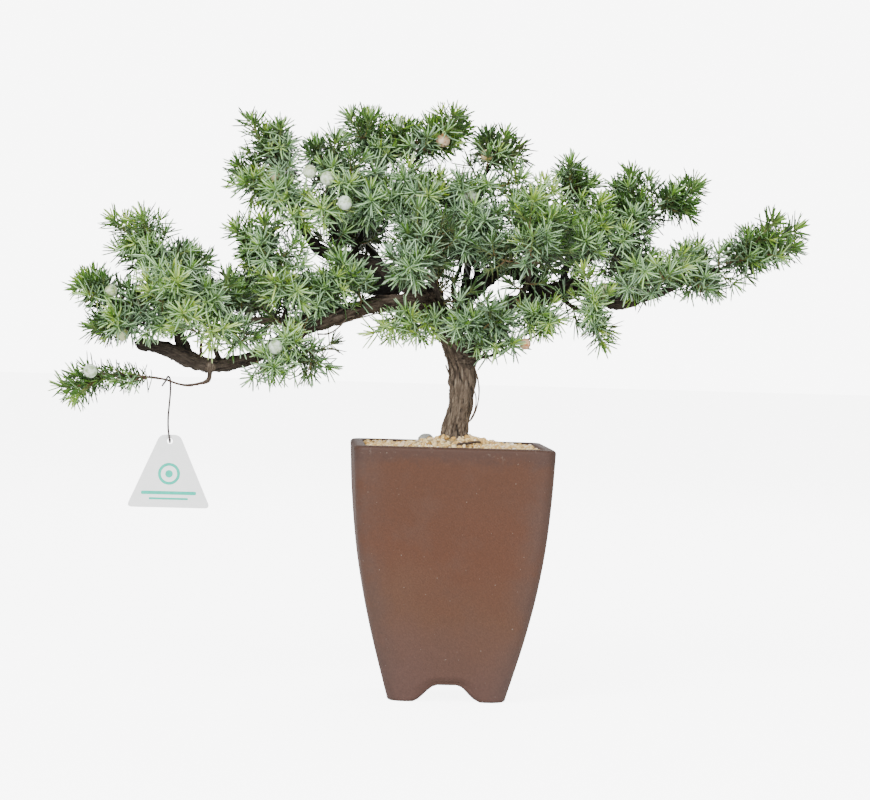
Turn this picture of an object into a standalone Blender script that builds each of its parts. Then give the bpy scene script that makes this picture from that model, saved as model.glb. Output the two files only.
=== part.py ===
"""Needle juniper grown as a bonsai in a tall square pot, with gravel, cones and a hanging label.

Metres, +Z up. The pot's feet stand on z = 0 and its front faces -Y. Every table below is in
millimetres from the middle of the pot's foot; the last step moves the whole plant sideways so
that the middle of its outline is over the origin.
"""

import math

import bmesh
import bpy
from mathutils import Vector

MM = 0.001
OBJECT_NAME = "bonsai_tree_in_pot"

# Gaps that keep neighbouring solids apart.
CONTACT_GAP = 0.3
WOOD_GAP = 0.5
SPRAY_GAP = 0.5

# Pot: a square section that swells upwards, with rounded corners and an arch in each foot side.
POT_HEIGHT = 144.5
POT_TOP_HALF = 56.5
POT_FOOT_HALF = 33.0
POT_BELLY = 5.4
POT_CORNER_RADIUS = 7.0
POT_WALL = 7.0
RIM_ROUND = 1.8
FOOT_ROUND = 2.4
FOOT_SKIRT = 7.0
FLOOR_UNDERSIDE = 10.6
FLOOR_THICKNESS = 6.0
ARCH_HEIGHT = 9.6
ARCH_FOOT_HALF = 21.5
ARCH_TOP_HALF = 5.5
DRAIN_RADIUS = 7.0

# What fills the pot, from the floor up.
MESH_HALF = 12.0
MESH_THICKNESS = 0.8
MESH_SQUARES = 9
GRIT_DEPTH = 16.0
GRAVEL_DEPTH = 9.0
GRAVEL_BELOW_RIM = 2.0
MOUND_HEIGHT = 6.6
MOUND_RADIUS = 23.0
GRAVEL_BUMP = 0.7
GRAVEL_CELLS = 18
STONE_RADIUS = 3.6
STONE_PLACE = (-13.6, 13.0)
FALLEN_TWIG_RADIUS = 0.9

# Label and its tie.
TAG_TOP_WIDTH = 11.0
TAG_BOTTOM_WIDTH = 47.0
TAG_HEIGHT = 41.0
TAG_CORNER = 3.0
TAG_THICKNESS = 0.8
TAG_HOLE_RADIUS = 1.8
TAG_HOLE_FROM_TOP = 3.4
WIRE_RADIUS = 0.55
WIRE_STEP = 4 * WIRE_RADIUS

# Foliage and fruit.
SPRAY_REACH = 9.0
SPRAY_BASE_REACH = 4.0
CONE_RADIUS = 4.0

# The tables' heights hold for a pot of this height. A taller pot lifts the whole tree.
TABLE_POT_HEIGHT = 144.5

# Wood: each branch is a route of (x, y, z, radius), and starts inside the wood it grows from.
BRANCHES = {
    "trunk": [
        (1.6, 0, 126, 7.6), (1.5, 0, 138, 9.2), (1.6, 0, 147, 8.6), (2.6, 0, 155, 7.2),
        (4.4, 0, 166, 6.8), (5.8, 0, 178, 7.3), (5.4, 0, 189, 7.7), (2.4, 0, 199, 7.4),
        (-3, 1, 208, 6.9), (-8.5, 1, 217, 6.6), (-13, 1, 227, 6.2),
    ],
    "left_main": [
        (-6, 0, 217, 5.8), (-17, -1, 223.5, 5.4), (-30, -2, 224.5, 4.7), (-45, -3, 223, 4.4),
        (-58, -4, 219, 4.6), (-70, -5, 214.6, 4.9), (-82, -6, 210, 4.5), (-92, -6, 205, 4.2),
        (-102, -6, 198, 3.8), (-112, -7, 191.7, 3.5), (-123, -8, 188, 3.9),
        (-134, -8, 186, 3.9), (-144, -8, 186.8, 4.2), (-154, -7, 191, 4.4),
        (-163, -7, 194.3, 3.7), (-172, -6, 196, 3.4), (-178.5, -6, 197, 3.1),
    ],
    "left_upper": [
        (-56, -2, 220, 3.0), (-70, 2, 219.6, 2.6), (-80, 4, 216.5, 2.4), (-90, 5, 213.2, 2.3),
        (-100, 5, 211.7, 2.2), (-115, 4, 212, 2.1), (-130, 2, 212.6, 2.1), (-142, 0, 214.4, 2.0),
        (-152, -1, 218, 1.9), (-162, 0, 220, 1.8),
    ],
    "left_riser": [
        (-151, -7, 190, 3.4), (-154.5, -5, 198, 3.1), (-158, -3, 206, 2.6), (-162, 0, 214, 2.3),
        (-166, 3, 224, 2.0), (-167.5, 5, 234, 1.8), (-167, 5, 243, 1.5), (-171, 2, 252, 1.3),
        (-177, -1, 258, 1.1),
    ],
    "left_shoot": [
        (-158, -3, 207, 1.7), (-167, -4, 210.5, 1.5), (-177, -4, 213.5, 1.4),
        (-188.5, -5, 217.5, 1.3), (-195, -5, 221.5, 1.2), (-199, -5, 224.5, 1.0),
    ],
    "left_low_shoot": [
        (-165, -5, 210, 1.2), (-173, -8, 208, 1.1), (-181, -9, 208, 1.0),
    ],
    "tag_twig": [
        (-137.5, -10, 188, 1.8), (-138.2, -11, 182, 1.6), (-139.4, -11.4, 177.2, 1.4),
        (-144, -11.7, 175.3, 1.0), (-150, -12, 174.2, 0.9), (-156, -12, 174.8, 0.85),
        (-163, -12, 177, 0.8), (-172, -12, 178.2, 0.8), (-186, -12, 178.6, 0.75),
        (-199, -12, 178.8, 0.7),
    ],
    "left_thin_riser": [
        (-143.5, -9, 189, 1.1), (-143.8, -10, 197, 0.9), (-142.6, -10, 203, 0.8),
        (-138, -9, 208, 0.7),
    ],
    "left_stub": [
        (-132.5, -8, 187, 2.0), (-134.5, -8, 192, 1.5), (-136, -8.5, 195.5, 1.3),
    ],
    "left_column": [
        (-98, 5, 211.7, 1.7), (-96, 3, 223, 1.4), (-98, 1, 235, 1.3), (-104, 0, 247, 1.1),
    ],
    "left_back": [
        (-92, -5, 206, 2.2), (-99, 9, 212, 1.8), (-108, 24, 219, 1.5), (-116, 38, 226, 1.2),
    ],
    "left_far_back": [
        (-140, 0, 214.2, 1.6), (-146, 14, 219, 1.4), (-152, 27, 226, 1.1),
    ],
    "left_drooper": [
        (-83, -6, 208, 1.6), (-88, -12, 201, 1.1), (-84, -16, 196.5, 0.9),
    ],
    "left_limb": [
        (-10, 2, 224, 5.4), (-24, 4, 233, 5.0), (-36, 6, 239, 4.8), (-48, 8, 245.5, 4.3),
        (-58, 8, 249, 3.6), (-70, 6, 250.5, 3.2), (-79, 4, 254.5, 3.0), (-86, 3, 262.5, 2.7),
        (-90.5, 2, 271, 2.4), (-94, 2, 281, 2.0), (-99, 2, 292, 1.6), (-106, 1, 301, 1.2),
    ],
    "left_limb_inner": [
        (-60, 8, 249, 2.3), (-57, 9, 256, 1.9), (-53, 12, 264, 1.7), (-49, 13, 276, 1.5),
        (-46, 12, 292, 1.3), (-43, 9, 304, 1.1),
    ],
    "left_limb_middle": [
        (-67, 6, 250, 2.0), (-68, 3, 258, 1.6), (-70, 0, 267, 1.4), (-73, -2, 282, 1.2),
        (-76, -2, 296, 1.0),
    ],
    "left_limb_back": [
        (-38, 7, 240, 2.6), (-44, 20, 249, 2.0), (-52, 34, 259, 1.6), (-60, 48, 271, 1.2),
    ],
    "centre_stem": [
        (-12, 2, 228, 2.8), (-12, 3, 240, 1.7), (-11, 3, 254, 1.4), (-16, 4, 270, 1.2),
        (-22, 5, 286, 1.1), (-27, 5, 299, 1.0), (-21, 4, 311, 0.9),
    ],
    "centre_front": [
        (-3, -1, 211, 3.0), (-7, -13, 223, 2.2), (-14, -23, 236, 1.8), (-22, -30, 245, 1.3),
    ],
    "centre_back": [
        (-1, 4, 213, 3.4), (4, 16, 226, 2.7), (8, 30, 240, 2.2), (9, 43, 254, 1.7),
        (5, 55, 268, 1.3),
    ],
    "low_twig": [
        (6, -5, 196, 1.7), (13, -9, 194.5, 1.2), (20, -11, 195.5, 1.0), (28, -12, 199, 0.9),
        (36, -12, 203.5, 0.8), (44, -12, 206.5, 0.8), (49, -12, 210, 0.7),
    ],
    "right_main": [
        (7, 1, 191, 6.0), (13, 2, 205, 5.5), (22, 3, 217.5, 5.0), (34, 4, 225.3, 4.8),
        (48, 4, 229, 4.9), (60, 5, 234, 5.2), (71, 6, 236, 4.5), (80, 6, 232.4, 3.4),
        (88, 6, 230.2, 4.2), (95, 6, 229.6, 5.3), (103, 6, 230.6, 3.8), (112, 6, 232.4, 2.7),
        (120, 6, 235, 2.1), (128, 5, 238.8, 1.6), (136, 4, 243, 1.3), (146, 4, 247.5, 1.1),
        (157, 4, 250.8, 1.0), (166, 3, 257.5, 0.9),
    ],
    "centre_arch": [
        (-1, 3, 207, 4.6), (3, 4, 218, 4.8), (8, 4, 230, 4.6), (17, 3, 239, 4.4),
        (26, 1, 246, 4.4), (35, 0, 246, 4.8), (43, 1, 240, 4.8), (50, 3, 231.5, 4.4),
    ],
    "centre_riser": [
        (26, 1, 245, 3.4), (22, -2, 255, 2.8), (17, -4, 264, 2.2), (13, -4, 278, 1.6),
        (12, -4, 290, 1.4), (14.5, -4, 298, 1.2), (18.5, -3, 305, 1.0),
    ],
    "right_riser_thin": [
        (38, 1, 244, 1.8), (41, 3, 252, 1.2), (42, 5, 262, 1.1), (41, 4, 273, 1.0),
    ],
    "right_riser": [
        (51, 3, 233, 2.0), (52.5, 5, 246, 1.3), (55, 6, 257, 1.2), (60, 8, 272, 1.1),
        (65, 7, 288, 0.9),
    ],
    "right_back": [
        (61, 6, 235, 2.6), (64, 19, 243, 2.0), (67, 33, 251, 1.6), (72, 47, 260, 1.2),
    ],
    "right_front": [
        (36, 3, 226, 2.4), (38, -9, 232, 1.9), (40, -20, 240, 1.5), (40, -28, 249, 1.2),
    ],
    "right_upper": [
        (112, 6, 232, 2.0), (104, 5, 242, 1.9), (97, 3, 249.5, 1.8), (91, 1, 255, 1.7),
        (94, 1, 262, 1.5), (98, 1, 268, 1.4), (104, 2, 274, 1.2), (112, 3, 280, 1.1),
        (118, 3, 284.5, 1.0),
    ],
    "right_upper_twig": [
        (92, 1, 255, 1.5), (83, 0, 254, 1.3), (74, -1, 251.5, 1.1),
    ],
    "right_end_back": [
        (112, 6, 232.4, 1.8), (108, 18, 238, 1.4), (104, 30, 245, 1.1),
    ],
    "hanging_shoot": [
        (62, 4, 230.5, 1.8), (66, 0, 226, 1.3), (71, -3, 223.5, 1.1), (78, -5, 220, 1.0),
        (82, -6, 214, 0.9),
    ],
}
THICK_BRANCH = 2.5

# Roots spread under the gravel and go down into the soil.
ROOT_COUNT = 6
ROOT_SPREAD = 27.0
ROOT_DEPTH = 62.0
ROOT_RADIUS = 3.4

# Foliage: each spray has the point where it leaves its branch, then the tips of its shoots.
SPRAYS = {
    "left_tip": [(-198, -5, 225), (-211, -10, 230), (-205, 4, 234), (-208, -18, 224)],
    "left_lower_tip": [(-180, -9, 209), (-190, -22, 206), (-204, -12, 206), (-198, 4, 212)],
    "left_top": [(-168, 5, 247), (-195, 4, 267), (-179, -10, 269), (-184, 16, 246),
                 (-175, -14, 247)],
    "left_crest": [(-164, 5, 240), (-150, 10, 248), (-159, 22, 250), (-143, -4, 243)],
    "left_front": [(-164, 0, 222), (-158, -30, 234), (-150, -22, 240), (-174, -22, 233),
                   (-154, -34, 215)],
    "left_inner": [(-178, -4, 215), (-186, -2, 227), (-177, 14, 223), (-170, -18, 212)],
    "left_back": [(-148, 18, 221), (-166, 38, 234), (-150, 46, 240), (-138, 38, 229),
                  (-160, 24, 228)],
    "left_ridge": [(-131, 1, 215), (-140, -16, 229), (-128, -4, 234), (-122, 14, 225)],
    "left_under": [(-128, -2, 210), (-138, -26, 205), (-121, -24, 199), (-113, -18, 204)],
    "left_drop": [(-97, -10, 203), (-103, -30, 188), (-96, -32, 203), (-78, -26, 189)],
    "column_top": [(-104, 0, 247), (-125, -6, 262), (-110, -12, 267), (-118, 12, 254)],
    "column_low": [(-97, 2, 228), (-88, -20, 254), (-104, -22, 235), (-90, -24, 229),
                   (-111, 8, 226)],
    "middle": [(-75, 3, 221), (-85, -6, 233), (-66, -22, 247), (-60, -24, 239), (-74, -20, 231)],
    "main_under": [(-32, -5, 220), (-46, -18, 207), (-27, -22, 209), (-17, -22, 212)],
    "left_back_low": [(-110, 28, 221), (-128, 50, 236), (-112, 62, 242), (-102, 46, 232),
                      (-119, 34, 230)],
    "crown_left_top": [(-106, 1, 301), (-117, -4, 324), (-102, -12, 321), (-98, 14, 314)],
    "crown_left_edge": [(-97, 2, 288), (-125, 2, 300), (-121, -12, 290), (-105, -18, 283),
                        (-90, -20, 274)],
    "crown_mid_left": [(-75, -2, 295), (-81, -12, 311), (-71, -16, 315), (-62, 6, 301)],
    "crown_mid": [(-49, 10, 279), (-61, -24, 290), (-50, -30, 281), (-58, 4, 270)],
    "crown_top": [(-43, 9, 303), (-62, -4, 328), (-53, 12, 330), (-35, 0, 324), (-26, 8, 323)],
    "crown_right_top": [(-21, 4, 311), (-4, -2, 332), (1, 10, 326), (-14, 4, 324)],
    "crown_centre": [(-22, 4, 284), (-32, -16, 295), (-40, -20, 286), (-17, -24, 286)],
    "crown_heart": [(-15, 4, 266), (-30, -36, 264), (-20, -38, 272), (-34, -24, 273)],
    "crown_knot": [(-22, -30, 245), (-38, -44, 250), (-28, -50, 244), (-16, -44, 255)],
    "crown_back": [(-50, 34, 258), (-74, 56, 280), (-58, 72, 288), (-46, 54, 282),
                   (-68, 38, 270)],
    "centre_fan": [(6, -3, 268), (0, -26, 293), (8, -30, 280), (-10, -12, 295)],
    "centre_dark": [(8, -5, 257), (-6, -30, 266), (4, -34, 260), (21, -26, 268), (26, -20, 258)],
    "centre_back": [(8, 40, 251), (-10, 68, 280), (6, 84, 290), (20, 66, 280), (-2, 42, 268),
                    (18, 44, 264)],
    "right_head": [(18, -3, 305), (26, -4, 320), (15, 6, 320), (31, 4, 313)],
    "right_rosette": [(41, 3, 272), (41, -38, 284), (32, -22, 295), (52, -22, 290)],
    "right_flank": [(40, -28, 249), (51, -40, 275), (40, -46, 263), (62, -26, 270)],
    "right_spire": [(65, 7, 288), (64, -2, 306), (77, 4, 296), (69, 14, 300)],
    "right_shelf": [(72, 2, 258), (81, -14, 284), (84, -16, 275), (72, -24, 262)],
    "right_back": [(70, 40, 255), (62, 62, 276), (78, 74, 282), (88, 58, 272), (76, 46, 266)],
    "right_end_back": [(105, 28, 244), (116, 44, 256), (102, 52, 260), (96, 36, 258)],
    "right_column": [(98, 1, 268), (94, -14, 263), (102, -10, 275), (93, 12, 294), (100, 4, 301)],
    "right_branch_tip": [(117, 3, 284), (123, -4, 291), (136, 6, 297), (133, 2, 285)],
    "right_low": [(112, 4, 239), (93, -16, 240), (101, -22, 250), (120, -22, 245),
                  (127, -14, 255)],
    "right_outer": [(136, 4, 245), (131, -8, 259), (140, 6, 261), (143, -12, 237), (149, 8, 240)],
    "far_right": [(157, 3, 252), (181, -6, 277), (196, 6, 273), (192, -8, 262), (176, 12, 257)],
    "hanging": [(80, -6, 217), (77, -24, 232), (71, -26, 245), (84, -10, 206), (88, -4, 212)],
    "front_fan": [(14, -8, 206), (18, -36, 221), (5, -32, 214), (30, -26, 217), (31, -24, 203)],
    "front_right_low": [(40, 0, 223), (49, -22, 220), (57, -20, 217), (42, -18, 213)],
    "tag_sprig": [(-174, -12, 178), (-186, -12, 180), (-217, -12, 172), (-209, -18, 168)],
}

# Cones, by where their middles are.
CONES = {
    "left": (-205, -22, 181),
    "under_branch": (-101.5, -36, 197.5),
    "crown_left": (-85, -22, 296.5),
    "crown_middle": (-75, -26, 292.8),
    "crown_front": (-65, -38, 279),
    "crown_right": (-9.5, -4, 317.5),
}

# The label hangs by its hole from a wire hooked over the tag twig.
TAG_HOLE = (-159.8, -12.0, 142.4)
TAG_WIRE_ROUTE = [
    (-165.0, -14.6, 173.4), (-163.0, -14.4, 176.4), (-161.8, -12.6, 178.9),
    (-160.8, -10.4, 177.8), (-160.4, -9.8, 174.5), (-160.3, -10.2, 170.0),
    (-160.7, -11.2, 163.0), (-161.1, -12.2, 156.0), (-160.9, -13.0, 149.5),
    (-160.2, -13.6, 144.6), (-159.9, -13.1, 142.4), (-159.8, -11.2, 141.6),
    (-159.8, -10.4, 143.6),
]
LABEL_NODES = ("hang_tag", "tag_wire")


def lifted(point):
    """A point of the tables, moved up or down with the pot's rim."""
    x, y, z, *rest = point
    return (x, y, z + POT_HEIGHT - TABLE_POT_HEIGHT, *rest)


def clear_scene():
    for obj in list(bpy.data.objects):
        bpy.data.objects.remove(obj, do_unlink=True)


def new_collection(name):
    collection = bpy.data.collections.new(name)
    bpy.context.scene.collection.children.link(collection)
    return collection


def new_material(name, colour, roughness, metallic=0.0):
    material = bpy.data.materials.new(name)
    material.use_nodes = True
    shader = material.node_tree.nodes["Principled BSDF"]
    shader.inputs["Base Color"].default_value = (*colour, 1.0)
    shader.inputs["Roughness"].default_value = roughness
    shader.inputs["Metallic"].default_value = metallic
    return material


def object_from_bmesh(name, bm, material, collection):
    """Triangles only: a Boolean splits a bent quad differently each time it meets one."""
    bmesh.ops.recalc_face_normals(bm, faces=bm.faces)
    bmesh.ops.triangulate(bm, faces=bm.faces)
    data = bpy.data.meshes.new(name)
    bm.to_mesh(data)
    bm.free()
    data.materials.append(material)
    obj = bpy.data.objects.new(name, data)
    collection.objects.link(obj)
    return obj


def cutter(obj):
    obj.hide_render = True
    obj.display_type = "WIRE"
    return obj


def add_boolean(obj, other, operation="DIFFERENCE"):
    modifier = obj.modifiers.new(f"{operation.lower()} {other.name}", "BOOLEAN")
    modifier.operation = operation
    modifier.object = other
    modifier.solver = "EXACT"


def settle(obj):
    """Replaces the object's mesh by its evaluated mesh, in place, and drops its modifiers."""
    graph = bpy.context.evaluated_depsgraph_get()
    data = bpy.data.meshes.new_from_object(obj.evaluated_get(graph))
    obj.modifiers.clear()
    obj.data = data


def cut(obj, tool):
    """Cuts at once and splits the result into triangles, so that the next cut meets flat faces."""
    add_boolean(obj, cutter(tool))
    bpy.context.view_layer.update()
    settle(obj)
    bm = bmesh.new()
    bm.from_mesh(obj.data)
    bmesh.ops.remove_doubles(bm, verts=bm.verts, dist=1e-6)
    bmesh.ops.dissolve_degenerate(bm, edges=bm.edges, dist=1e-7)
    bmesh.ops.triangulate(bm, faces=bm.faces)
    bm.to_mesh(obj.data)
    bm.free()


def keep_largest_body(obj):
    """A cut can leave chips: only the body with the biggest box is kept."""
    bm = bmesh.new()
    bm.from_mesh(obj.data)
    unseen = set(bm.verts)
    bodies = []
    while unseen:
        front = [unseen.pop()]
        body = set(front)
        while front:
            for edge in front.pop().link_edges:
                for vert in edge.verts:
                    if vert in unseen:
                        unseen.discard(vert)
                        body.add(vert)
                        front.append(vert)
        bodies.append(body)
    if len(bodies) > 1:
        bodies.sort(key=lambda body: box_diagonal([vert.co for vert in body]))
        chips = [vert for body in bodies[:-1] for vert in body]
        bmesh.ops.delete(bm, geom=chips, context="VERTS")
        bm.to_mesh(obj.data)
    bm.free()


def box_diagonal(points):
    low = [min(p[i] for p in points) for i in range(3)]
    high = [max(p[i] for p in points) for i in range(3)]
    return (Vector(high) - Vector(low)).length


def box_of(obj):
    points = [vert.co for vert in obj.data.vertices]
    low = Vector([min(p[i] for p in points) for i in range(3)])
    high = Vector([max(p[i] for p in points) for i in range(3)])
    return low, high


def boxes_meet(first, second):
    low_a, high_a = box_of(first)
    low_b, high_b = box_of(second)
    return all(low_a[i] <= high_b[i] and low_b[i] <= high_a[i] for i in range(3))


# Pot and what fills it


def outer_half(z):
    """Half the pot's outside width at height z: a straight taper with a slight swell."""
    share = min(max(z / POT_HEIGHT, 0.0), 1.0)
    straight = POT_FOOT_HALF + (POT_TOP_HALF - POT_FOOT_HALF) * share
    return straight + POT_BELLY * math.sin(math.pi * share)


def inner_half(z):
    return outer_half(z) - POT_WALL


def square_solid(name, sections, corner_radius, material, collection):
    """A solid with a square section that changes with height, and rounded upright corners.

    sections is a list of (z, half width). A quarter profile is spun in four steps.
    """
    bm = bmesh.new()
    profile = [(0.0, sections[0][0])]
    profile += [(half, z) for z, half in sections]
    profile.append((0.0, sections[-1][0]))
    verts = [bm.verts.new((half * MM, half * MM, z * MM)) for half, z in profile]
    edges = [bm.edges.new(pair) for pair in zip(verts, verts[1:])]
    bmesh.ops.spin(
        bm, geom=verts + edges, cent=(0, 0, 0), axis=(0, 0, 1), angle=2 * math.pi, steps=4
    )
    bmesh.ops.remove_doubles(bm, verts=bm.verts, dist=1e-6)
    bmesh.ops.dissolve_limit(
        bm, angle_limit=math.radians(0.5), verts=bm.verts, edges=bm.edges
    )
    upright = [
        edge
        for edge in bm.edges
        if abs(edge.verts[0].co.z - edge.verts[1].co.z) > 0.05 * MM
        and all(vert.co.xy.length > 1 * MM for vert in edge.verts)
    ]
    bmesh.ops.bevel(
        bm, geom=upright, offset=corner_radius * MM, segments=4, profile=0.5, affect="EDGES"
    )
    return object_from_bmesh(name, bm, material, collection)


def heights(low, high, steps):
    return [low + (high - low) * i / steps for i in range(steps + 1)]


def outer_sections():
    """A rounded edge under the foot, the wall, then a quarter circle over the rim."""
    sections = []
    for i in range(3):
        angle = math.radians(30 * i)
        rise = FOOT_ROUND * (1 - math.cos(angle))
        inset = FOOT_ROUND * (1 - math.sin(angle))
        sections.append((rise, outer_half(FOOT_ROUND) - inset))
    sections += [(z, outer_half(z)) for z in heights(FOOT_ROUND, POT_HEIGHT - RIM_ROUND, 8)]
    for i in range(1, 4):
        angle = math.radians(30 * i)
        rise = RIM_ROUND * math.sin(angle)
        inset = RIM_ROUND * (1 - math.cos(angle))
        sections.append((POT_HEIGHT - RIM_ROUND + rise, outer_half(POT_HEIGHT) - inset))
    return sections


def inner_sections(low, high, gap=0.0):
    """The inside of the pot between two heights, drawn in by a gap, and straight above the rim."""
    inside = [(z, inner_half(z) - gap) for z in heights(low, min(high, POT_HEIGHT), 6)]
    if high > POT_HEIGHT:
        inside.append((high, inside[-1][1]))
    return inside


def arch_cutter(name, angle, material, collection):
    """A bar with the arch's ogee outline that runs under the whole pot."""
    steps = 8
    side = []
    for i in range(steps + 1):
        share = i / steps
        x = ARCH_FOOT_HALF + (ARCH_TOP_HALF - ARCH_FOOT_HALF) * share
        side.append((x, ARCH_HEIGHT * (1 - math.cos(math.pi * share)) / 2))
    right = [(side[0][0], -2.0)] + side
    outline = right + [(-x, z) for x, z in reversed(right)]
    bm = bmesh.new()
    reach = POT_TOP_HALF
    verts = [bm.verts.new((x * MM, -reach * MM, z * MM)) for x, z in outline]
    face = bm.faces.new(verts)
    extruded = bmesh.ops.extrude_face_region(bm, geom=[face])
    moved = [item for item in extruded["geom"] if isinstance(item, bmesh.types.BMVert)]
    bmesh.ops.translate(bm, verts=moved, vec=(0, 2 * reach * MM, 0))
    obj = object_from_bmesh(name, bm, material, collection)
    obj.rotation_euler.z = angle
    return obj


def make_pot(parts, cutters):
    clay = new_material("unglazed_stoneware", (0.22, 0.115, 0.078), 0.82)
    pot = square_solid("pot", outer_sections(), POT_CORNER_RADIUS, clay, parts)
    floor_top = FLOOR_UNDERSIDE + FLOOR_THICKNESS
    hollow = inner_sections(floor_top, POT_HEIGHT + 5)
    inner_corner = max(POT_CORNER_RADIUS - POT_WALL / 2, 1.0)
    cavity = square_solid("cavity", hollow, inner_corner, clay, cutters)
    under_half = POT_FOOT_HALF - FOOT_SKIRT
    recess = square_solid(
        "foot_recess", [(-2, under_half), (FLOOR_UNDERSIDE, under_half)], 3.0, clay, cutters
    )
    bm = bmesh.new()
    bmesh.ops.create_cone(
        bm,
        cap_ends=True,
        segments=20,
        radius1=DRAIN_RADIUS * MM,
        radius2=DRAIN_RADIUS * MM,
        depth=3 * FLOOR_THICKNESS * MM,
    )
    hole_height = FLOOR_UNDERSIDE + FLOOR_THICKNESS / 2
    bmesh.ops.translate(bm, verts=bm.verts, vec=(0, 0, hole_height * MM))
    drain = object_from_bmesh("drain_hole", bm, clay, cutters)
    arches = [arch_cutter(f"arch_{i}", i * math.pi / 2, clay, cutters) for i in range(2)]
    for tool in [cavity, recess, drain] + arches:
        cut(pot, tool)


def make_drainage_mesh(parts):
    plastic = new_material("black_plastic_mesh", (0.02, 0.02, 0.02), 0.5)
    bm = bmesh.new()
    bmesh.ops.create_grid(
        bm, x_segments=MESH_SQUARES, y_segments=MESH_SQUARES, size=MESH_HALF * MM
    )
    cell = 2 * MESH_HALF / MESH_SQUARES * MM
    holes = []
    for face in bm.faces:
        centre = face.calc_center_median()
        column = math.floor((centre.x + MESH_HALF * MM) / cell)
        row = math.floor((centre.y + MESH_HALF * MM) / cell)
        if column % 2 == 1 and row % 2 == 1:
            holes.append(face)
    bmesh.ops.delete(bm, geom=holes, context="FACES")
    extruded = bmesh.ops.extrude_face_region(bm, geom=list(bm.faces))
    moved = [item for item in extruded["geom"] if isinstance(item, bmesh.types.BMVert)]
    bmesh.ops.translate(bm, verts=moved, vec=(0, 0, MESH_THICKNESS * MM))
    height = FLOOR_UNDERSIDE + FLOOR_THICKNESS + CONTACT_GAP
    bmesh.ops.translate(bm, verts=bm.verts, vec=(0, 0, height * MM))
    return object_from_bmesh("drainage_mesh", bm, plastic, parts)


def gravel_top(x, y):
    """Height of the gravel's surface: level near the rim, mounded at the trunk, lumpy all over."""
    level = POT_HEIGHT - GRAVEL_BELOW_RIM
    mound = MOUND_HEIGHT * math.exp(-((x - 4) ** 2 + y ** 2) / MOUND_RADIUS ** 2)
    lumps = math.sin(0.9 * x + 1.3 * math.sin(0.5 * y)) * math.cos(0.8 * y + 0.6 * x)
    return level + mound + GRAVEL_BUMP * lumps


def make_filling(parts, cutters):
    grit_stone = new_material("coarse_grit", (0.25, 0.22, 0.19), 0.95)
    earth = new_material("bonsai_soil", (0.09, 0.055, 0.035), 1.0)
    tan = new_material("tan_gravel", (0.60, 0.46, 0.28), 0.9)
    corner = max(POT_CORNER_RADIUS - POT_WALL / 2, 1.0)
    grit_low = FLOOR_UNDERSIDE + FLOOR_THICKNESS + MESH_THICKNESS + 2 * CONTACT_GAP
    grit_high = grit_low + GRIT_DEPTH
    gravel_low = POT_HEIGHT - GRAVEL_BELOW_RIM - GRAVEL_DEPTH
    layers = {
        "drainage_grit": (grit_low, grit_high, grit_stone),
        "soil": (grit_high + CONTACT_GAP, gravel_low - CONTACT_GAP, earth),
    }
    made = {}
    for name, (low, high, material) in layers.items():
        sections = inner_sections(low, high, CONTACT_GAP)
        made[name] = square_solid(name, sections, corner, material, parts)

    bm = bmesh.new()
    half = POT_TOP_HALF
    bmesh.ops.create_grid(
        bm, x_segments=GRAVEL_CELLS, y_segments=GRAVEL_CELLS, size=half * MM
    )
    for vert in bm.verts:
        vert.co.z = gravel_top(vert.co.x / MM, vert.co.y / MM) * MM
    extruded = bmesh.ops.extrude_face_region(bm, geom=list(bm.faces))
    moved = [item for item in extruded["geom"] if isinstance(item, bmesh.types.BMVert)]
    for vert in moved:
        vert.co.z = (gravel_low - 5) * MM
    gravel = object_from_bmesh("top_gravel", bm, tan, parts)
    limits = inner_sections(gravel_low, POT_HEIGHT + 2 * MOUND_HEIGHT, CONTACT_GAP)
    bowl = cutter(square_solid("gravel_limits", limits, corner, tan, cutters))
    add_boolean(gravel, bowl, "INTERSECT")
    made["top_gravel"] = gravel
    return made


def make_loose_things(parts, cutters):
    """The grey stone, the hollow that it lies in, and the dead twig on the gravel."""
    grey = new_material("grey_stone", (0.33, 0.33, 0.31), 0.85)
    bark = new_material("dead_twig", (0.07, 0.045, 0.03), 0.9)
    x, y = STONE_PLACE
    height = gravel_top(x, y) + 0.35 * STONE_RADIUS
    sizes = (
        ("grey_stone", STONE_RADIUS, parts), ("stone_hollow", STONE_RADIUS + CONTACT_GAP, cutters)
    )
    for name, radius, group in sizes:
        bm = bmesh.new()
        bmesh.ops.create_icosphere(bm, subdivisions=2, radius=radius * MM)
        bmesh.ops.scale(bm, verts=bm.verts, vec=(1.25, 1.0, 0.85))
        bmesh.ops.translate(bm, verts=bm.verts, vec=(x * MM, y * MM, height * MM))
        stone = object_from_bmesh(name, bm, grey, group)
    hollow = cutter(stone)

    ends = [(2.5, -31.0), (9.0, -25.0), (15.5, -21.0)]
    lift = FALLEN_TWIG_RADIUS + 2 * CONTACT_GAP
    route = [(x, y, gravel_top(x, y) + lift, FALLEN_TWIG_RADIUS) for x, y in ends]
    tube("fallen_twig", route, bark, parts, 2)
    return hollow


# Wood


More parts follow.
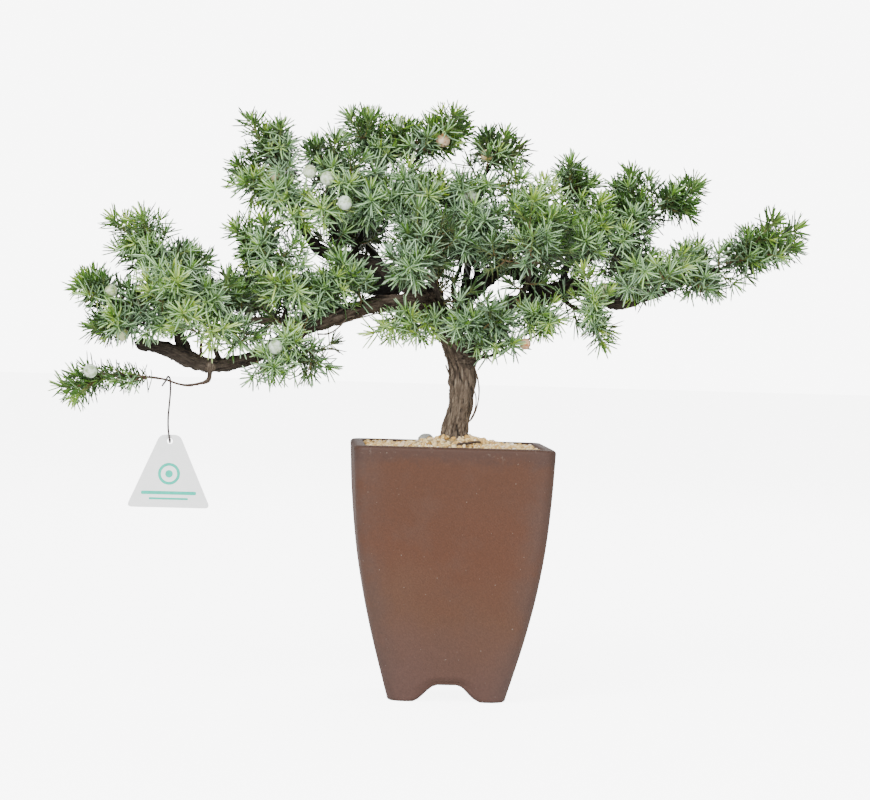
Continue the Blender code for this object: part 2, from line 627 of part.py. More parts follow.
def tube(name, route, material, collection, sides_level):
    """A tapering round tube along (x, y, z, radius) points, as one closed mesh."""
    data = bpy.data.curves.new(name, "CURVE")
    data.dimensions = "3D"
    data.bevel_depth = 1.0
    data.bevel_resolution = sides_level
    data.use_fill_caps = True
    spline = data.splines.new("POLY")
    spline.points.add(len(route) - 1)
    for point, (x, y, z, radius) in zip(spline.points, route):
        point.co = (x * MM, y * MM, z * MM, 1.0)
        point.radius = radius * MM
    curve = bpy.data.objects.new(f"{name}_route", data)
    collection.objects.link(curve)
    graph = bpy.context.evaluated_depsgraph_get()
    mesh = bpy.data.meshes.new_from_object(curve.evaluated_get(graph))
    bpy.data.objects.remove(curve, do_unlink=True)
    bm = bmesh.new()
    bm.from_mesh(mesh)
    bmesh.ops.remove_doubles(bm, verts=bm.verts, dist=1e-6)
    return object_from_bmesh(name, bm, material, collection)


def inflated(route, gap, longer=0.0):
    """The same route, fatter by a gap and longer at both ends."""
    points = [Vector(p[:3]) for p in route]
    ends = [
        points[0] + (points[0] - points[1]).normalized() * longer,
        points[-1] + (points[-1] - points[-2]).normalized() * longer,
    ]
    points[0], points[-1] = ends
    return [(*point, p[3] + gap) for point, p in zip(points, route)]


def root_routes():
    """Roots leave the trunk's foot in a ring, arch outwards and go down."""
    x0, y0, z0, _ = lifted(BRANCHES["trunk"][0])
    routes = {}
    for i in range(ROOT_COUNT):
        angle = 2 * math.pi * (i + 0.35 * (i % 2)) / ROOT_COUNT
        depth = ROOT_DEPTH * (0.75 + 0.25 * (i % 3) / 2)
        route = []
        for step in range(6):
            share = step / 5
            out = ROOT_SPREAD * math.sin(share * math.pi / 2)
            route.append((
                x0 + out * math.cos(angle + 0.3 * share),
                y0 + out * math.sin(angle + 0.3 * share),
                z0 + 6 - depth * share ** 1.6,
                ROOT_RADIUS * (1 - 0.7 * share),
            ))
        routes[f"root_{i}"] = route
    return routes


def sides_of(route):
    return 3 if max(point[3] for point in route) > THICK_BRANCH else 1


def make_wood(parts, cutters):
    """One body of trunk, branches and roots, and a fatter cutter for each of them."""
    bark = new_material("bark", (0.115, 0.085, 0.06), 0.95)
    branches = {name: [lifted(p) for p in route] for name, route in BRANCHES.items()}
    routes = {**branches, **root_routes()}
    wood = None
    sleeves = {}
    for name, route in routes.items():
        limb = tube(name, route, bark, cutters, sides_of(route))
        cutter(limb)
        sleeve = tube(f"{name}_sleeve", inflated(route, WOOD_GAP), bark, cutters, sides_of(route))
        sleeves[name] = cutter(sleeve)
        if wood is None:
            wood = bpy.data.objects.new("tree_wood", limb.data.copy())
            parts.objects.link(wood)
            continue
        add_boolean(wood, limb, "UNION")
    settle(wood)
    return sleeves


# Foliage and cones


def directions(count):
    """Evenly spread unit vectors over a half sphere."""
    golden = math.pi * (3 - math.sqrt(5))
    found = []
    for i in range(count):
        z = (i + 0.5) / count
        ring = math.sqrt(1 - z * z)
        found.append(Vector((ring * math.cos(golden * i), ring * math.sin(golden * i), z)))
    return found


PARTING_DIRECTIONS = directions(60)


def hull(points):
    bm = bmesh.new()
    for point in points:
        bm.verts.new(point)
    result = bmesh.ops.convex_hull(bm, input=bm.verts)
    loose = [item for item in result["geom_interior"] if isinstance(item, bmesh.types.BMVert)]
    bmesh.ops.delete(bm, geom=loose, context="VERTS")
    return bm


def ball_points(centre, radius):
    bm = bmesh.new()
    bmesh.ops.create_icosphere(bm, subdivisions=1, radius=radius)
    points = [centre + vert.co for vert in bm.verts]
    bm.free()
    return points


def spray_points(spray):
    """The corners of the smallest convex body round a spray's base and its shoot tips."""
    base, *tips = [Vector(lifted(point)) * MM for point in spray]
    points = ball_points(base, SPRAY_BASE_REACH * MM)
    for tip in tips:
        inwards = (base - tip).normalized() * SPRAY_REACH * 0.35 * MM
        points += ball_points(tip + inwards, SPRAY_REACH * MM)
    bm = hull(points)
    corners = [vert.co.copy() for vert in bm.verts]
    bm.free()
    return corners


def sliced(points, normal, limit):
    """The part of a convex body where point . normal <= limit."""
    bm = hull(points)
    everything = list(bm.verts) + list(bm.edges) + list(bm.faces)
    bmesh.ops.bisect_plane(
        bm, geom=everything, plane_co=normal * limit, plane_no=normal, clear_outer=True
    )
    kept = [vert.co.copy() for vert in bm.verts]
    bm.free()
    return kept


def part_bodies(first, second, gap, share=0.5):
    """Slices two convex bodies where they come nearer than gap, along the shallowest direction.

    share is how much of the overlap the first body gives up.
    """
    best = None
    for direction in PARTING_DIRECTIONS:
        for normal in (direction, -direction):
            top = max(p.dot(normal) for p in first)
            bottom = min(p.dot(normal) for p in second)
            if best is None or top - bottom < best[0]:
                best = (top - bottom, normal, top)
    overlap, normal, top = best
    if overlap <= -gap:
        return first, second
    lost = overlap + gap
    first = sliced(first, normal, top - lost * share)
    if share < 1:
        second = sliced(second, -normal, -(top - lost * share + gap))
    return first, second


def make_cones(parts):
    skin = new_material("cone_bloom", (0.55, 0.62, 0.50), 0.55)
    made = {}
    for name, centre in CONES.items():
        bm = bmesh.new()
        bmesh.ops.create_uvsphere(bm, u_segments=10, v_segments=7, radius=CONE_RADIUS * MM)
        bmesh.ops.translate(bm, verts=bm.verts, vec=Vector(lifted(centre)) * MM)
        made[name] = object_from_bmesh(f"cone_{name}", bm, skin, parts)
    return made


def make_sprays(parts, cones, sleeves):
    """Convex clumps, kept apart by slicing, then cut back from the wood that passes them."""
    needles = new_material("juniper_needles", (0.16, 0.27, 0.10), 0.7)
    bodies = {name: spray_points(spray) for name, spray in SPRAYS.items()}
    names = list(bodies)
    for i, first in enumerate(names):
        for second in names[i + 1:]:
            pair = part_bodies(bodies[first], bodies[second], SPRAY_GAP * MM)
            bodies[first], bodies[second] = pair
    for name in names:
        for cone in cones.values():
            points = [vert.co.copy() for vert in cone.data.vertices]
            bodies[name], _ = part_bodies(bodies[name], points, SPRAY_GAP * MM, share=1)
    for name in names:
        spray = object_from_bmesh(f"spray_{name}", hull(bodies[name]), needles, parts)
        for sleeve in sleeves.values():
            if boxes_meet(spray, sleeve):
                add_boolean(spray, sleeve)
        settle(spray)
        keep_largest_body(spray)


# Label


def smooth_route(points, step):
    """Points about a step apart on a Catmull-Rom curve through the given points."""
    points = [Vector(p) for p in points]
    padded = [2 * points[0] - points[1]] + points + [2 * points[-1] - points[-2]]
    out = []
    for p0, p1, p2, p3 in zip(padded, padded[1:], padded[2:], padded[3:]):
        count = max(1, round((p2 - p1).length / step))
        for i in range(count):
            t = i / count
            out.append(0.5 * (
                2 * p1
                + (p2 - p0) * t
                + (2 * p0 - 5 * p1 + 4 * p2 - p3) * t ** 2
                + (3 * p1 - 3 * p2 + p3 - p0) * t ** 3
            ))
    out.append(points[-1])
    return out


def make_label(parts, cutters):
    card = new_material("white_plastic_label", (0.90, 0.91, 0.90), 0.45)
    steel = new_material("brown_tie_wire", (0.12, 0.10, 0.085), 0.5, 0.3)
    hole_x, hole_y, hole_z = lifted(TAG_HOLE)
    top = hole_z + TAG_HOLE_FROM_TOP
    outline = [
        (-TAG_TOP_WIDTH / 2, top), (TAG_TOP_WIDTH / 2, top),
        (TAG_BOTTOM_WIDTH / 2, top - TAG_HEIGHT), (-TAG_BOTTOM_WIDTH / 2, top - TAG_HEIGHT),
    ]
    bm = bmesh.new()
    verts = [
        bm.verts.new(((hole_x + x) * MM, (hole_y - TAG_THICKNESS / 2) * MM, z * MM))
        for x, z in outline
    ]
    face = bm.faces.new(verts)
    extruded = bmesh.ops.extrude_face_region(bm, geom=[face])
    moved = [item for item in extruded["geom"] if isinstance(item, bmesh.types.BMVert)]
    bmesh.ops.translate(bm, verts=moved, vec=(0, TAG_THICKNESS * MM, 0))
    across = [edge for edge in bm.edges if abs(edge.verts[0].co.y - edge.verts[1].co.y) > 1e-5]
    bmesh.ops.bevel(
        bm, geom=across, offset=TAG_CORNER * MM, segments=4, profile=0.5, affect="EDGES"
    )
    tag = object_from_bmesh("hang_tag", bm, card, parts)

    bm = bmesh.new()
    bmesh.ops.create_cone(
        bm,
        cap_ends=True,
        segments=16,
        radius1=TAG_HOLE_RADIUS * MM,
        radius2=TAG_HOLE_RADIUS * MM,
        depth=6 * TAG_THICKNESS * MM,
    )
    hole = object_from_bmesh("tag_hole", bm, card, cutters)
    hole.rotation_euler.x = math.pi / 2
    hole.location = Vector((hole_x, hole_y, hole_z)) * MM
    add_boolean(tag, cutter(hole))

    points = smooth_route([lifted(p) for p in TAG_WIRE_ROUTE], WIRE_STEP)
    wire = [(*point, WIRE_RADIUS) for point in points]
    tube("tag_wire", wire, steel, parts, 2)


def centre_over_origin(parts):
    """Moves every object sideways so that the middle of the plant's outline is at x = y = 0."""
    bpy.context.view_layer.update()
    graph = bpy.context.evaluated_depsgraph_get()
    corners = []
    for obj in parts.objects:
        if obj.name in LABEL_NODES:
            continue
        data = bpy.data.meshes.new_from_object(obj.evaluated_get(graph))
        corners += [obj.matrix_world @ vert.co for vert in data.vertices]
        bpy.data.meshes.remove(data)
    middle = Vector([(min(p[i] for p in corners) + max(p[i] for p in corners)) / 2 for i in (0, 1)])
    for obj in bpy.data.objects:
        obj.location.x -= middle.x
        obj.location.y -= middle.y


def main():
    clear_scene()
    parts = new_collection(OBJECT_NAME)
    cutters = new_collection("cutters")
    make_pot(parts, cutters)
    make_drainage_mesh(parts)
    filling = make_filling(parts, cutters)
    stone_hollow = make_loose_things(parts, cutters)
    sleeves = make_wood(parts, cutters)
    add_boolean(filling["top_gravel"], stone_hollow)
    for name, sleeve in sleeves.items():
        if name == "trunk" or name.startswith("root"):
            for layer in filling.values():
                if boxes_meet(layer, sleeve):
                    add_boolean(layer, sleeve)
    cones = make_cones(parts)
    for cone in cones.values():
        for sleeve in sleeves.values():
            if boxes_meet(cone, sleeve):
                add_boolean(cone, sleeve)
    make_sprays(parts, cones, sleeves)
    make_label(parts, cutters)
    centre_over_origin(parts)


main()
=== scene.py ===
"""Needle juniper bonsai in a tall square stoneware pot, on a pale floor in soft studio light.

Shapes are made in millimetres from the middle of the pot's foot, which the tables below share
with the CAD model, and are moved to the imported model's pot at the end of their making.
"""

import math

import bmesh
import bpy
import numpy as np
from mathutils import Matrix, Vector, kdtree


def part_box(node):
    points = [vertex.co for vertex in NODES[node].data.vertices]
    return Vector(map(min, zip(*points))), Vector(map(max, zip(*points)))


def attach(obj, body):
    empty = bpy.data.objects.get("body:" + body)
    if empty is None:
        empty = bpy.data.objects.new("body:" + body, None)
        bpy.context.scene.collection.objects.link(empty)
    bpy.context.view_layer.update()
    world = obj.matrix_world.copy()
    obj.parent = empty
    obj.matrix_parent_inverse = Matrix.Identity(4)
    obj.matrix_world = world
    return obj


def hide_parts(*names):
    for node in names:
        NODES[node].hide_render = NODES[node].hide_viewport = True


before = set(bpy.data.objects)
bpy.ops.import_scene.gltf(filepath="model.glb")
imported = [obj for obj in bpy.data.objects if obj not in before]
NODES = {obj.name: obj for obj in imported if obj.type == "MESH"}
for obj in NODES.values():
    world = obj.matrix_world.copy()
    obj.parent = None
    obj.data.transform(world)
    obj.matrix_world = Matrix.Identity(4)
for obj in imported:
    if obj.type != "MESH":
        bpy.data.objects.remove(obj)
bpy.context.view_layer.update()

MM = 0.001
POT_LOW, POT_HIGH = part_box("pot")
ORIGIN = Vector(((POT_LOW.x + POT_HIGH.x) / 2, (POT_LOW.y + POT_HIGH.y) / 2, 0))

# Camera and picture
CAMERA_PLACE = (-94.1, -1754.9, 213.5)
CAMERA_YAW = 2.754
CAMERA_DOWN = 1.439
CAMERA_ROLL = 1.627
LENS = 127.1
SENSOR = 36.0

# Pot
POT_HEIGHT = 144.5
POT_TOP_HALF = 56.5
POT_FOOT_HALF = 33.0
POT_BELLY = 5.4
POT_CORNER = 7.0
POT_INNER_CORNER = 5.0
POT_WALL = 7.0
RIM_ROUND = 2.4
FOOT_ROUND = 2.4
FOOT_SKIRT = 7.0
FOOT_TOP = 22.0
FLOOR_UNDERSIDE = 10.6
FLOOR_THICKNESS = 6.0
ARCH_HEIGHT = 9.6
ARCH_FOOT_HALF = 21.5
ARCH_TOP_HALF = 5.5
DRAIN_RADIUS = 7.0

# Gravel
GRAVEL_BELOW_RIM = 2.0
MOUND_HEIGHT = 6.6
MOUND_RADIUS = 23.0
TRUNK_CLEARANCE = 7.5
STONE_COUNT = 2420
STONE_PLACE = (-13.6, 13.0)
STONE_SIZE = (4.4, 3.6, 3.1)

# Needles and shoots
NEEDLE_LENGTH = 12.0
NEEDLE_HALF_WIDTH = 0.52
NEEDLE_KEEL = 0.62
WHORL_GAP = 2.7
STEM_RADIUS = 0.55
TIP_WHORLS = 3
LATERAL_STEP = 7.0
DEAD_SHARE = 0.02
# The turn in radians from one side shoot to the next, close to the golden angle.
SHOOT_TURN = 2.4

# Thin wood with needles all along it: the x from which a branch bears them.
DRESSED = {
    "right_main": 133, "right_upper": 101, "left_riser": -170, "left_shoot": -183,
    "hanging_shoot": 72,
}
PALETTE = "OFBake"

# Colours, as stops along each ramp
UNDER_COLOURS = [
    (0.0, "573d20"), (0.08, "474322"), (0.2, "1a2814"), (0.45, "2a431e"), (0.7, "436a24"),
    (0.88, "6a952c"), (1.0, "92ae34"),
]
UPPER_COLOURS = [
    (0.0, "6c4f2c"), (0.08, "5c5730"), (0.2, "2d4429"), (0.45, "44683a"), (0.7, "588a38"),
    (0.88, "7da838"), (1.0, "a4be40"),
]
BAND_COLOURS = [
    (0.0, "7c663c"), (0.1, "77795a"), (0.3, "9cba9c"), (0.6, "c0dfb4"), (0.85, "c8e2a6"),
    (1.0, "d0e296"),
]
# Painted shade: the end of each needle's underside is darkened towards this colour, for the shadow at the
# needle tips.
TIP_PAINTED_SHADE = "2c2a20"
BASE_COLOUR = "8f9c62"
STEM_COLOURS = [(0.7, "3e3027"), (0.8, "563a2e"), (0.9, "6b5537"), (0.98, "6b8238")]
BARK_COLOURS = [
    (0.28, "241c16"), (0.42, "4e4237"), (0.56, "6b5e50"), (0.72, "8f8171"),
]
BARK_PATCHES = [(0.3, "382e25"), (0.5, "5e5144"), (0.7, "857765")]
# Near black: the bark's fissures, the painted shade of the inner limbs and the clay's dark grain.
NEAR_BLACK = "080605"
TWIG_COLOURS = [(0.25, "342922"), (0.55, "514034"), (0.85, "6b5847")]
CLAY_COLOURS = [(0.0, "543b33"), (0.4, "533523"), (0.75, "502d18"), (1.0, "4b2a15")]
CLAY_CLOUD = "4f362a"
CLAY_EDGE = "48362f"
CLAY_RIM = "3b2720"
CLAY_SALT = "8c7f74"
GRAVEL_COLOURS = [
    (0.0, "9a753c"), (0.25, "cda45f"), (0.5, "e6c686"), (0.7, "f2dcaa"), (0.85, "eacaa8"),
    (1.0, "f2ebdc"),
]
# Painted shade: each gravel stone darkens towards this colour where its surface is dented in.
PAINTED_DENT_SHADE = "5a4a36"
CONE_SKINS = [(0.0, "86a070"), (0.4, "94a352"), (0.7, "a87a48"), (1.0, "b06a3a")]
CONE_BLOOMS = [(0.0, "d6e2d4"), (0.4, "ccd4a4"), (0.7, "d0bfa4"), (1.0, "c9a07c")]

# Light
WORLD_LIGHT = 0.75
BACKDROP_LIGHT = 8.0
FLOOR_GLOW = 6.3
FLOOR_HALF = 9.0
KEY_POWER = 78.0
FILL_POWER = 18.0
BACK_POWER = 26.0

# Each berry-like cone: middle, radius, tint from green-white to orange, and the way its tip points.
CONES = {
    "left": ((-205, -22, 181), 4.0, 0.05, (-0.3, -0.8, -0.3)),
    "under_branch": ((-101.5, -36, 197.5), 4.0, 0.02, (0.2, -0.9, -0.4)),
    "crown_left": ((-85, -22, 296.5), 4.0, 0.12, (-0.2, -0.8, 0.4)),
    "crown_middle": ((-75, -26, 292.8), 4.0, 0.08, (0.3, -0.8, -0.2)),
    "crown_front": ((-65, -38, 279), 4.0, 0.0, (0.1, -0.9, 0.2)),
    "crown_right": ((-9.5, -4, 317.5), 4.0, 0.72, (0.2, -0.7, -0.4)),
    "left_yellow": ((-188, -16, 202), 3.7, 0.4, (-0.2, -0.9, 0.1)),
    "left_green": ((-195, -14, 226.5), 3.6, 0.2, (-0.5, -0.7, 0.2)),
    "crown_brown": ((-104.5, -10, 294), 3.4, 0.55, (-0.4, -0.7, -0.3)),
    "crown_pale": ((-35, -3, 327), 3.0, 0.05, (0.1, -0.8, 0.5)),
    "head_orange": ((15.5, -6, 309.5), 3.6, 0.6, (0.4, -0.8, 0.1)),
    "fan_green": ((6, -22, 285.5), 3.9, 0.06, (0.1, -0.9, -0.2)),
    "heart_olive": ((5.5, 8, 259), 3.8, 0.42, (0.0, -0.8, 0.5)),
    "flank_pale": ((58, -20, 256.5), 3.6, 0.04, (0.2, -0.9, 0.1)),
    "right_yellow": ((83.5, -12, 235.5), 3.7, 0.36, (0.3, -0.8, -0.3)),
    "outer_green": ((127.5, -10, 255.5), 3.6, 0.1, (-0.2, -0.8, 0.3)),
    "low_orange": ((39.5, -20, 203), 3.2, 0.9, (0.1, -0.8, -0.4)),
}

# How much painted shade darkens each branch's bark at its start and its end, from grey-brown at 0 to black
# at 1, for the shadow the limbs inside the crown sit in.
BRANCH_PAINTED_SHADE = {
    "left_limb": (0.8, 0.95), "left_limb_inner": (0.9, 0.9), "left_limb_middle": (0.85, 0.85),
    "left_limb_back": (0.9, 0.9), "centre_arch": (0.9, 0.95), "centre_riser": (0.95, 0.95),
    "centre_stem": (0.9, 0.9), "centre_back": (0.9, 0.9), "centre_front": (0.8, 0.8),
    "right_main": (0.6, 0.85), "right_riser": (0.8, 0.8), "right_riser_thin": (0.85, 0.85),
    "right_back": (0.8, 0.8), "right_front": (0.7, 0.7), "left_riser": (0.85, 0.6),
    "left_column": (0.6, 0.6), "left_back": (0.6, 0.6), "left_far_back": (0.6, 0.6),
    "left_main": (0.25, 0.85), "left_upper": (0.4, 0.7), "left_stub": (0.7, 0.7),
    "left_shoot": (0.4, 0.4), "trunk": (0.0, 0.25), "right_upper": (0.6, 0.3),
    "tag_twig": (0.3, 0.3), "low_twig": (0.5, 0.2), "hanging_shoot": (0.5, 0.3),
    "left_thin_riser": (0.5, 0.3), "left_drooper": (0.3, 0.3), "right_upper_twig": (0.2, 0.2),
}
# The same painted shade for every branch that isn't listed, which paints its bark near black.
INNER_SHADE = (1.0, 1.0)

# Dead stubs and thin risers where the limbs part, and thick masses of wood that fill the shadow there;
# their bark is painted near black as painted shade.
INNER_WOOD = {
    "trunk_knot": [(-8, 3, 215, 5.6), (-10, 5, 224, 4.8), (-11, 6, 232, 3.4), (-12, 6, 240, 2.0)],
    "knot_riser": [(2, 6, 222, 1.9), (-1, 8, 234, 1.3), (3, 9, 246, 1.1), (1, 9, 258, 1.0)],
    "arch_riser": [(9, 6, 230, 2.6), (13, 8, 241, 2.1), (11, 9, 252, 1.4), (12, 10, 262, 1.1)],
    "thin_riser": [(-12, 2, 236, 1.2), (-9, 0, 244, 0.9), (-3, -1, 249, 0.9), (0, -1, 258, 0.8)],
    "limb_stub": [(-32, 7, 234, 4.8), (-41, 6, 234, 6.0), (-50, 5, 235.6, 5.6), (-57, 4, 238, 3.8)],
    "crotch": [(-15, 6, 217, 6.0), (-20, 7, 227, 6.4), (-25, 8, 237, 5.4), (-27, 8, 246, 3.2)],
    "arch_stub": [(38, 0, 245, 3.2), (45, -2, 249, 2.2), (49, -3, 255, 1.2)],
}
# Loose strips of bark: the points of each, and its radius.
BARK_STRIPS = [
    ([(11.6, -4, 190), (13.8, -3.6, 184), (15.2, -3, 176), (14.6, -3, 168), (12.4, -3, 161),
      (9.6, -3, 157)], 0.45),
    ([(11.2, -5, 178), (13.4, -4.6, 172), (13.2, -4, 165), (10.8, -4, 159)], 0.35),
    ([(-1.6, -2.6, 183), (-3.0, -3, 186.4), (-4.2, -3, 189.4)], 0.5),
    ([(-62, -8, 214), (-67, -9.4, 208.6), (-72, -10, 205.6), (-78, -9.4, 205.2)], 0.5),
    ([(-30, -6.4, 221), (-42, -8, 218.6), (-53, -8.6, 215.4), (-60, -8.4, 213.6)], 0.45),
]
# A branch over this radius somewhere gets a rounder tube.
THICK_BRANCH = 2.5
WOOD_VOXEL = 0.7
# How far apart two branches' bark is laid out, so that no two look alike.
BARK_OFFSET = 61.7

# How yellow each spray is, from blue-green darkened as painted shade for sprays at the back and inside, to
# new yellow-green, where it isn't middling.
TONES = {
    "left_tip": 0.7, "left_top": 0.62, "left_crest": 0.4, "left_front": 0.66, "left_back": 0.28,
    "left_inner": 0.45, "left_back_low": 0.28, "left_drop": 0.5, "left_under": 0.5,
    "column_low": 0.62, "column_top": 0.62, "middle": 0.55, "main_under": 0.62,
    "crown_mid_left": 0.5, "crown_left_edge": 0.6, "crown_mid": 0.45, "crown_heart": 0.45,
    "crown_knot": 0.42, "crown_back": 0.24, "centre_back": 0.22, "centre_dark": 0.22,
    "right_rosette": 0.72, "right_shelf": 0.62, "right_back": 0.24, "right_end_back": 0.26,
    "right_low": 0.55, "hanging": 0.7, "front_fan": 0.45, "far_right": 0.6,
    "front_right_low": 0.6, "crown_top": 0.62, "crown_right_top": 0.62,
}
# How many shoots are added between a spray's tips, where it isn't 0.9 for each tip.
FILL = {
    "far_right": 3, "hanging": 1, "right_low": 1, "front_right_low": 1, "main_under": 1,
    "left_under": 1, "left_drop": 1, "left_inner": 2, "column_low": 2,
}

# Sprays laid out shoot by shoot: start, tip and needle length.
LAID_SHOOTS = {
    "tag_sprig": [
        ((-171, -12, 178), (-183, -15, 180), 8.5), ((-177, -12, 178.4), (-189, -9, 179), 9.0),
        ((-182, -12, 178.4), (-190, -18, 176), 8.5), ((-186, -12, 178.6), (-193, -12, 182), 8.5),
        ((-178, -12, 178), (-182, -19, 175), 8.0), ((-198, -12, 179), (-212, -12, 174), 10.5),
        ((-199, -12, 179), (-209, -16, 169), 10.5), ((-199, -12, 179), (-205, -5, 176), 10.0),
        ((-174, -12, 178), (-185, -12, 174), 9.0), ((-180, -12, 178.4), (-194, -14, 176), 9.5),
        ((-184, -12, 178.4), (-196, -8, 180), 9.5), ((-190, -12, 178.8), (-199, -16, 176), 9.0),
        ((-206, -12, 176), (-217, -12, 170), 10.5), ((-204, -12, 177), (-214, -8, 178), 10.0),
    ],
}

# Single shoots: (x, y, z) of the tip, and how yellow it is; the low values are partly painted shade for
# shoots at the back.
ROSETTES = [
    (-210, -9, 229.5, 0.7), (-206, 4, 234, 0.6), (-188, -20, 208, 0.6), (-204, -14, 205, 0.5),
    (-195, 2, 266, 0.75), (-178, -8, 266, 0.65), (-187, -10, 252, 0.5), (-193, 8, 250, 0.6),
    (-153, -14, 250, 0.5), (-143, 2, 246, 0.45), (-157, -32, 232, 0.85), (-153, -33, 215, 0.8),
    (-168, -22, 240, 0.6), (-165, -26, 226, 0.7), (-185, 4, 226, 0.6), (-142, -20, 230, 0.55),
    (-130, -14, 236, 0.5), (-122, -4, 226, 0.45), (-131, -24, 207, 0.85),
    (-102, -34, 186, 0.6), (-96, -30, 184, 0.65), (-72, -22, 187, 0.55),
    (-125, -8, 262, 0.7), (-109, -12, 266, 0.5), (-112, -18, 254, 0.6),
    (-93, -20, 255, 0.55), (-67, -22, 247, 0.6), (-59, -24, 239, 0.5),
    (-80, -18, 232, 0.35), (-86, -10, 226, 0.3), (-25, -24, 212, 0.6),
    (-17, -24, 213, 0.85), (-117, -4, 323, 0.6), (-102, -12, 320, 0.65), (-111, 6, 312, 0.4),
    (-124, 2, 299, 0.55), (-121, -12, 289, 0.6), (-104, -20, 286, 0.6), (-96, -16, 300, 0.4),
    (-94, -22, 272, 0.75), (-78, -28, 276, 0.85), (-88, -20, 284, 0.5),
    (-80, -14, 311, 0.4), (-71, -16, 313, 0.7), (-62, -28, 291, 0.75), (-72, -20, 300, 0.6),
    (-56, -24, 304, 0.5), (-48, -20, 298, 0.45), (-62, -5, 328, 0.6), (-51, 2, 328, 0.7),
    (-26, 6, 323, 0.5), (-36, -2, 321, 0.5), (-4, -2, 332, 0.75), (1, 6, 327, 0.65),
    (26, -3, 321, 0.6), (15, 4, 320, 0.6), (31, 2, 311, 0.5), (0, -28, 293, 0.5),
    (-12, -16, 295, 0.85), (-18, -26, 285, 0.85), (-32, -20, 294, 0.5), (-40, -24, 282, 0.5),
    (-29, -38, 263, 0.55), (-38, -44, 249, 0.3), (-28, -48, 244, 0.45), (-24, -40, 276, 0.45),
    (-10, -36, 272, 0.4), (2, -34, 266, 0.35), (14, -30, 272, 0.4), (22, -26, 262, 0.45),
    (12, -34, 256, 0.35), (40, -40, 284, 0.88), (50, -32, 276, 0.65), (34, -30, 296, 0.6),
    (30, -30, 280, 0.5), (18, -36, 222, 0.35), (4, -32, 213, 0.6), (45, -20, 220, 0.6),
    (32, -24, 204, 0.4), (15, -22, 202, 0.5),
    (8, -20, 232, 0.4), (-2, -16, 237, 0.3), (-8, -14, 246, 0.35), (-5, 12, 240, 0.3),
    (5, 14, 250, 0.2), (16, 12, 253, 0.2), (26, 14, 256, 0.2), (64, -3, 305, 0.6),
    (76, 4, 295, 0.6), (70, 8, 286, 0.45), (79, -16, 283, 0.8), (82, -18, 274, 0.75),
    (68, -22, 264, 0.5), (62, -26, 256, 0.5), (100, 3, 300, 0.6), (93, 8, 290, 0.5),
    (100, -10, 278, 0.55), (93, -12, 264, 0.5), (108, -8, 268, 0.5), (122, -3, 289, 0.6),
    (137, 5, 296, 0.65), (132, 2, 284, 0.55), (110, -10, 254, 0.5),
    (121, -14, 251, 0.7), (130, -12, 258, 0.6), (142, -12, 244, 0.5), (78, -24, 226, 0.8),
    (84, -10, 205, 0.5), (181, -6, 276, 0.7), (195, 5, 273, 0.7),
    (191, -8, 262, 0.65), (175, 10, 257, 0.85), (168, -6, 266, 0.6), (160, 6, 262, 0.5),
    (150, -8, 258, 0.5), (144, 8, 254, 0.5), (-215, -10, 173, 0.7), (-221, -12, 172, 0.75),
    (-211, -18, 168, 0.7), (-207, -14, 181, 0.6),
]
# A single shoot grows from wood thinner than this.
BEARING_RADIUS = 4.6
# Short shoots grow on wood up to this radius, one every so many steps of about 1 mm.
INNER_SHOOT_RADIUS = 2.0
INNER_SHOOT_STEP = 7
# Branches without those short shoots.
BARE_BRANCHES = (
    "tag_twig", "left_stub", "left_thin_riser", "low_twig", "left_low_shoot", "trunk",
    "trunk_knot", "knot_riser", "arch_riser", "thin_riser", "limb_stub", "arch_stub", "crotch",
)

# Label and its wire
TAG_TOP_WIDTH = 11.0
TAG_BOTTOM_WIDTH = 47.0
TAG_HEIGHT = 41.0
TAG_CORNER = 3.0
TAG_THICKNESS = 0.8
TAG_HOLE_RADIUS = 1.8
TAG_HOLE_FROM_TOP = 3.4
WIRE_RADIUS = 0.55
TAG_HOLE = (-159.8, -12.0, 142.4)
# A generic mark: rings about a point above the label's lower edge, and bars (height, width, depth).
TAG_MARK_HEIGHT = 19.0
TAG_RINGS = (6.2, 4.6, 2.1)
TAG_BARS = ((8.2, 31.0, 1.9), (4.9, 22.0, 1.1))
TAG_WIRE_ROUTE = [
    (-165.0, -14.6, 173.4), (-163.0, -14.4, 176.4), (-161.8, -12.6, 178.9),
    (-160.8, -10.4, 177.8), (-160.4, -9.8, 174.5), (-160.3, -10.2, 170.0),
    (-160.7, -11.2, 163.0), (-161.1, -12.2, 156.0), (-160.9, -13.0, 149.5),
    (-160.2, -13.6, 144.6), (-159.9, -13.1, 142.4), (-159.8, -11.2, 141.6),
    (-159.8, -10.4, 143.6),
]

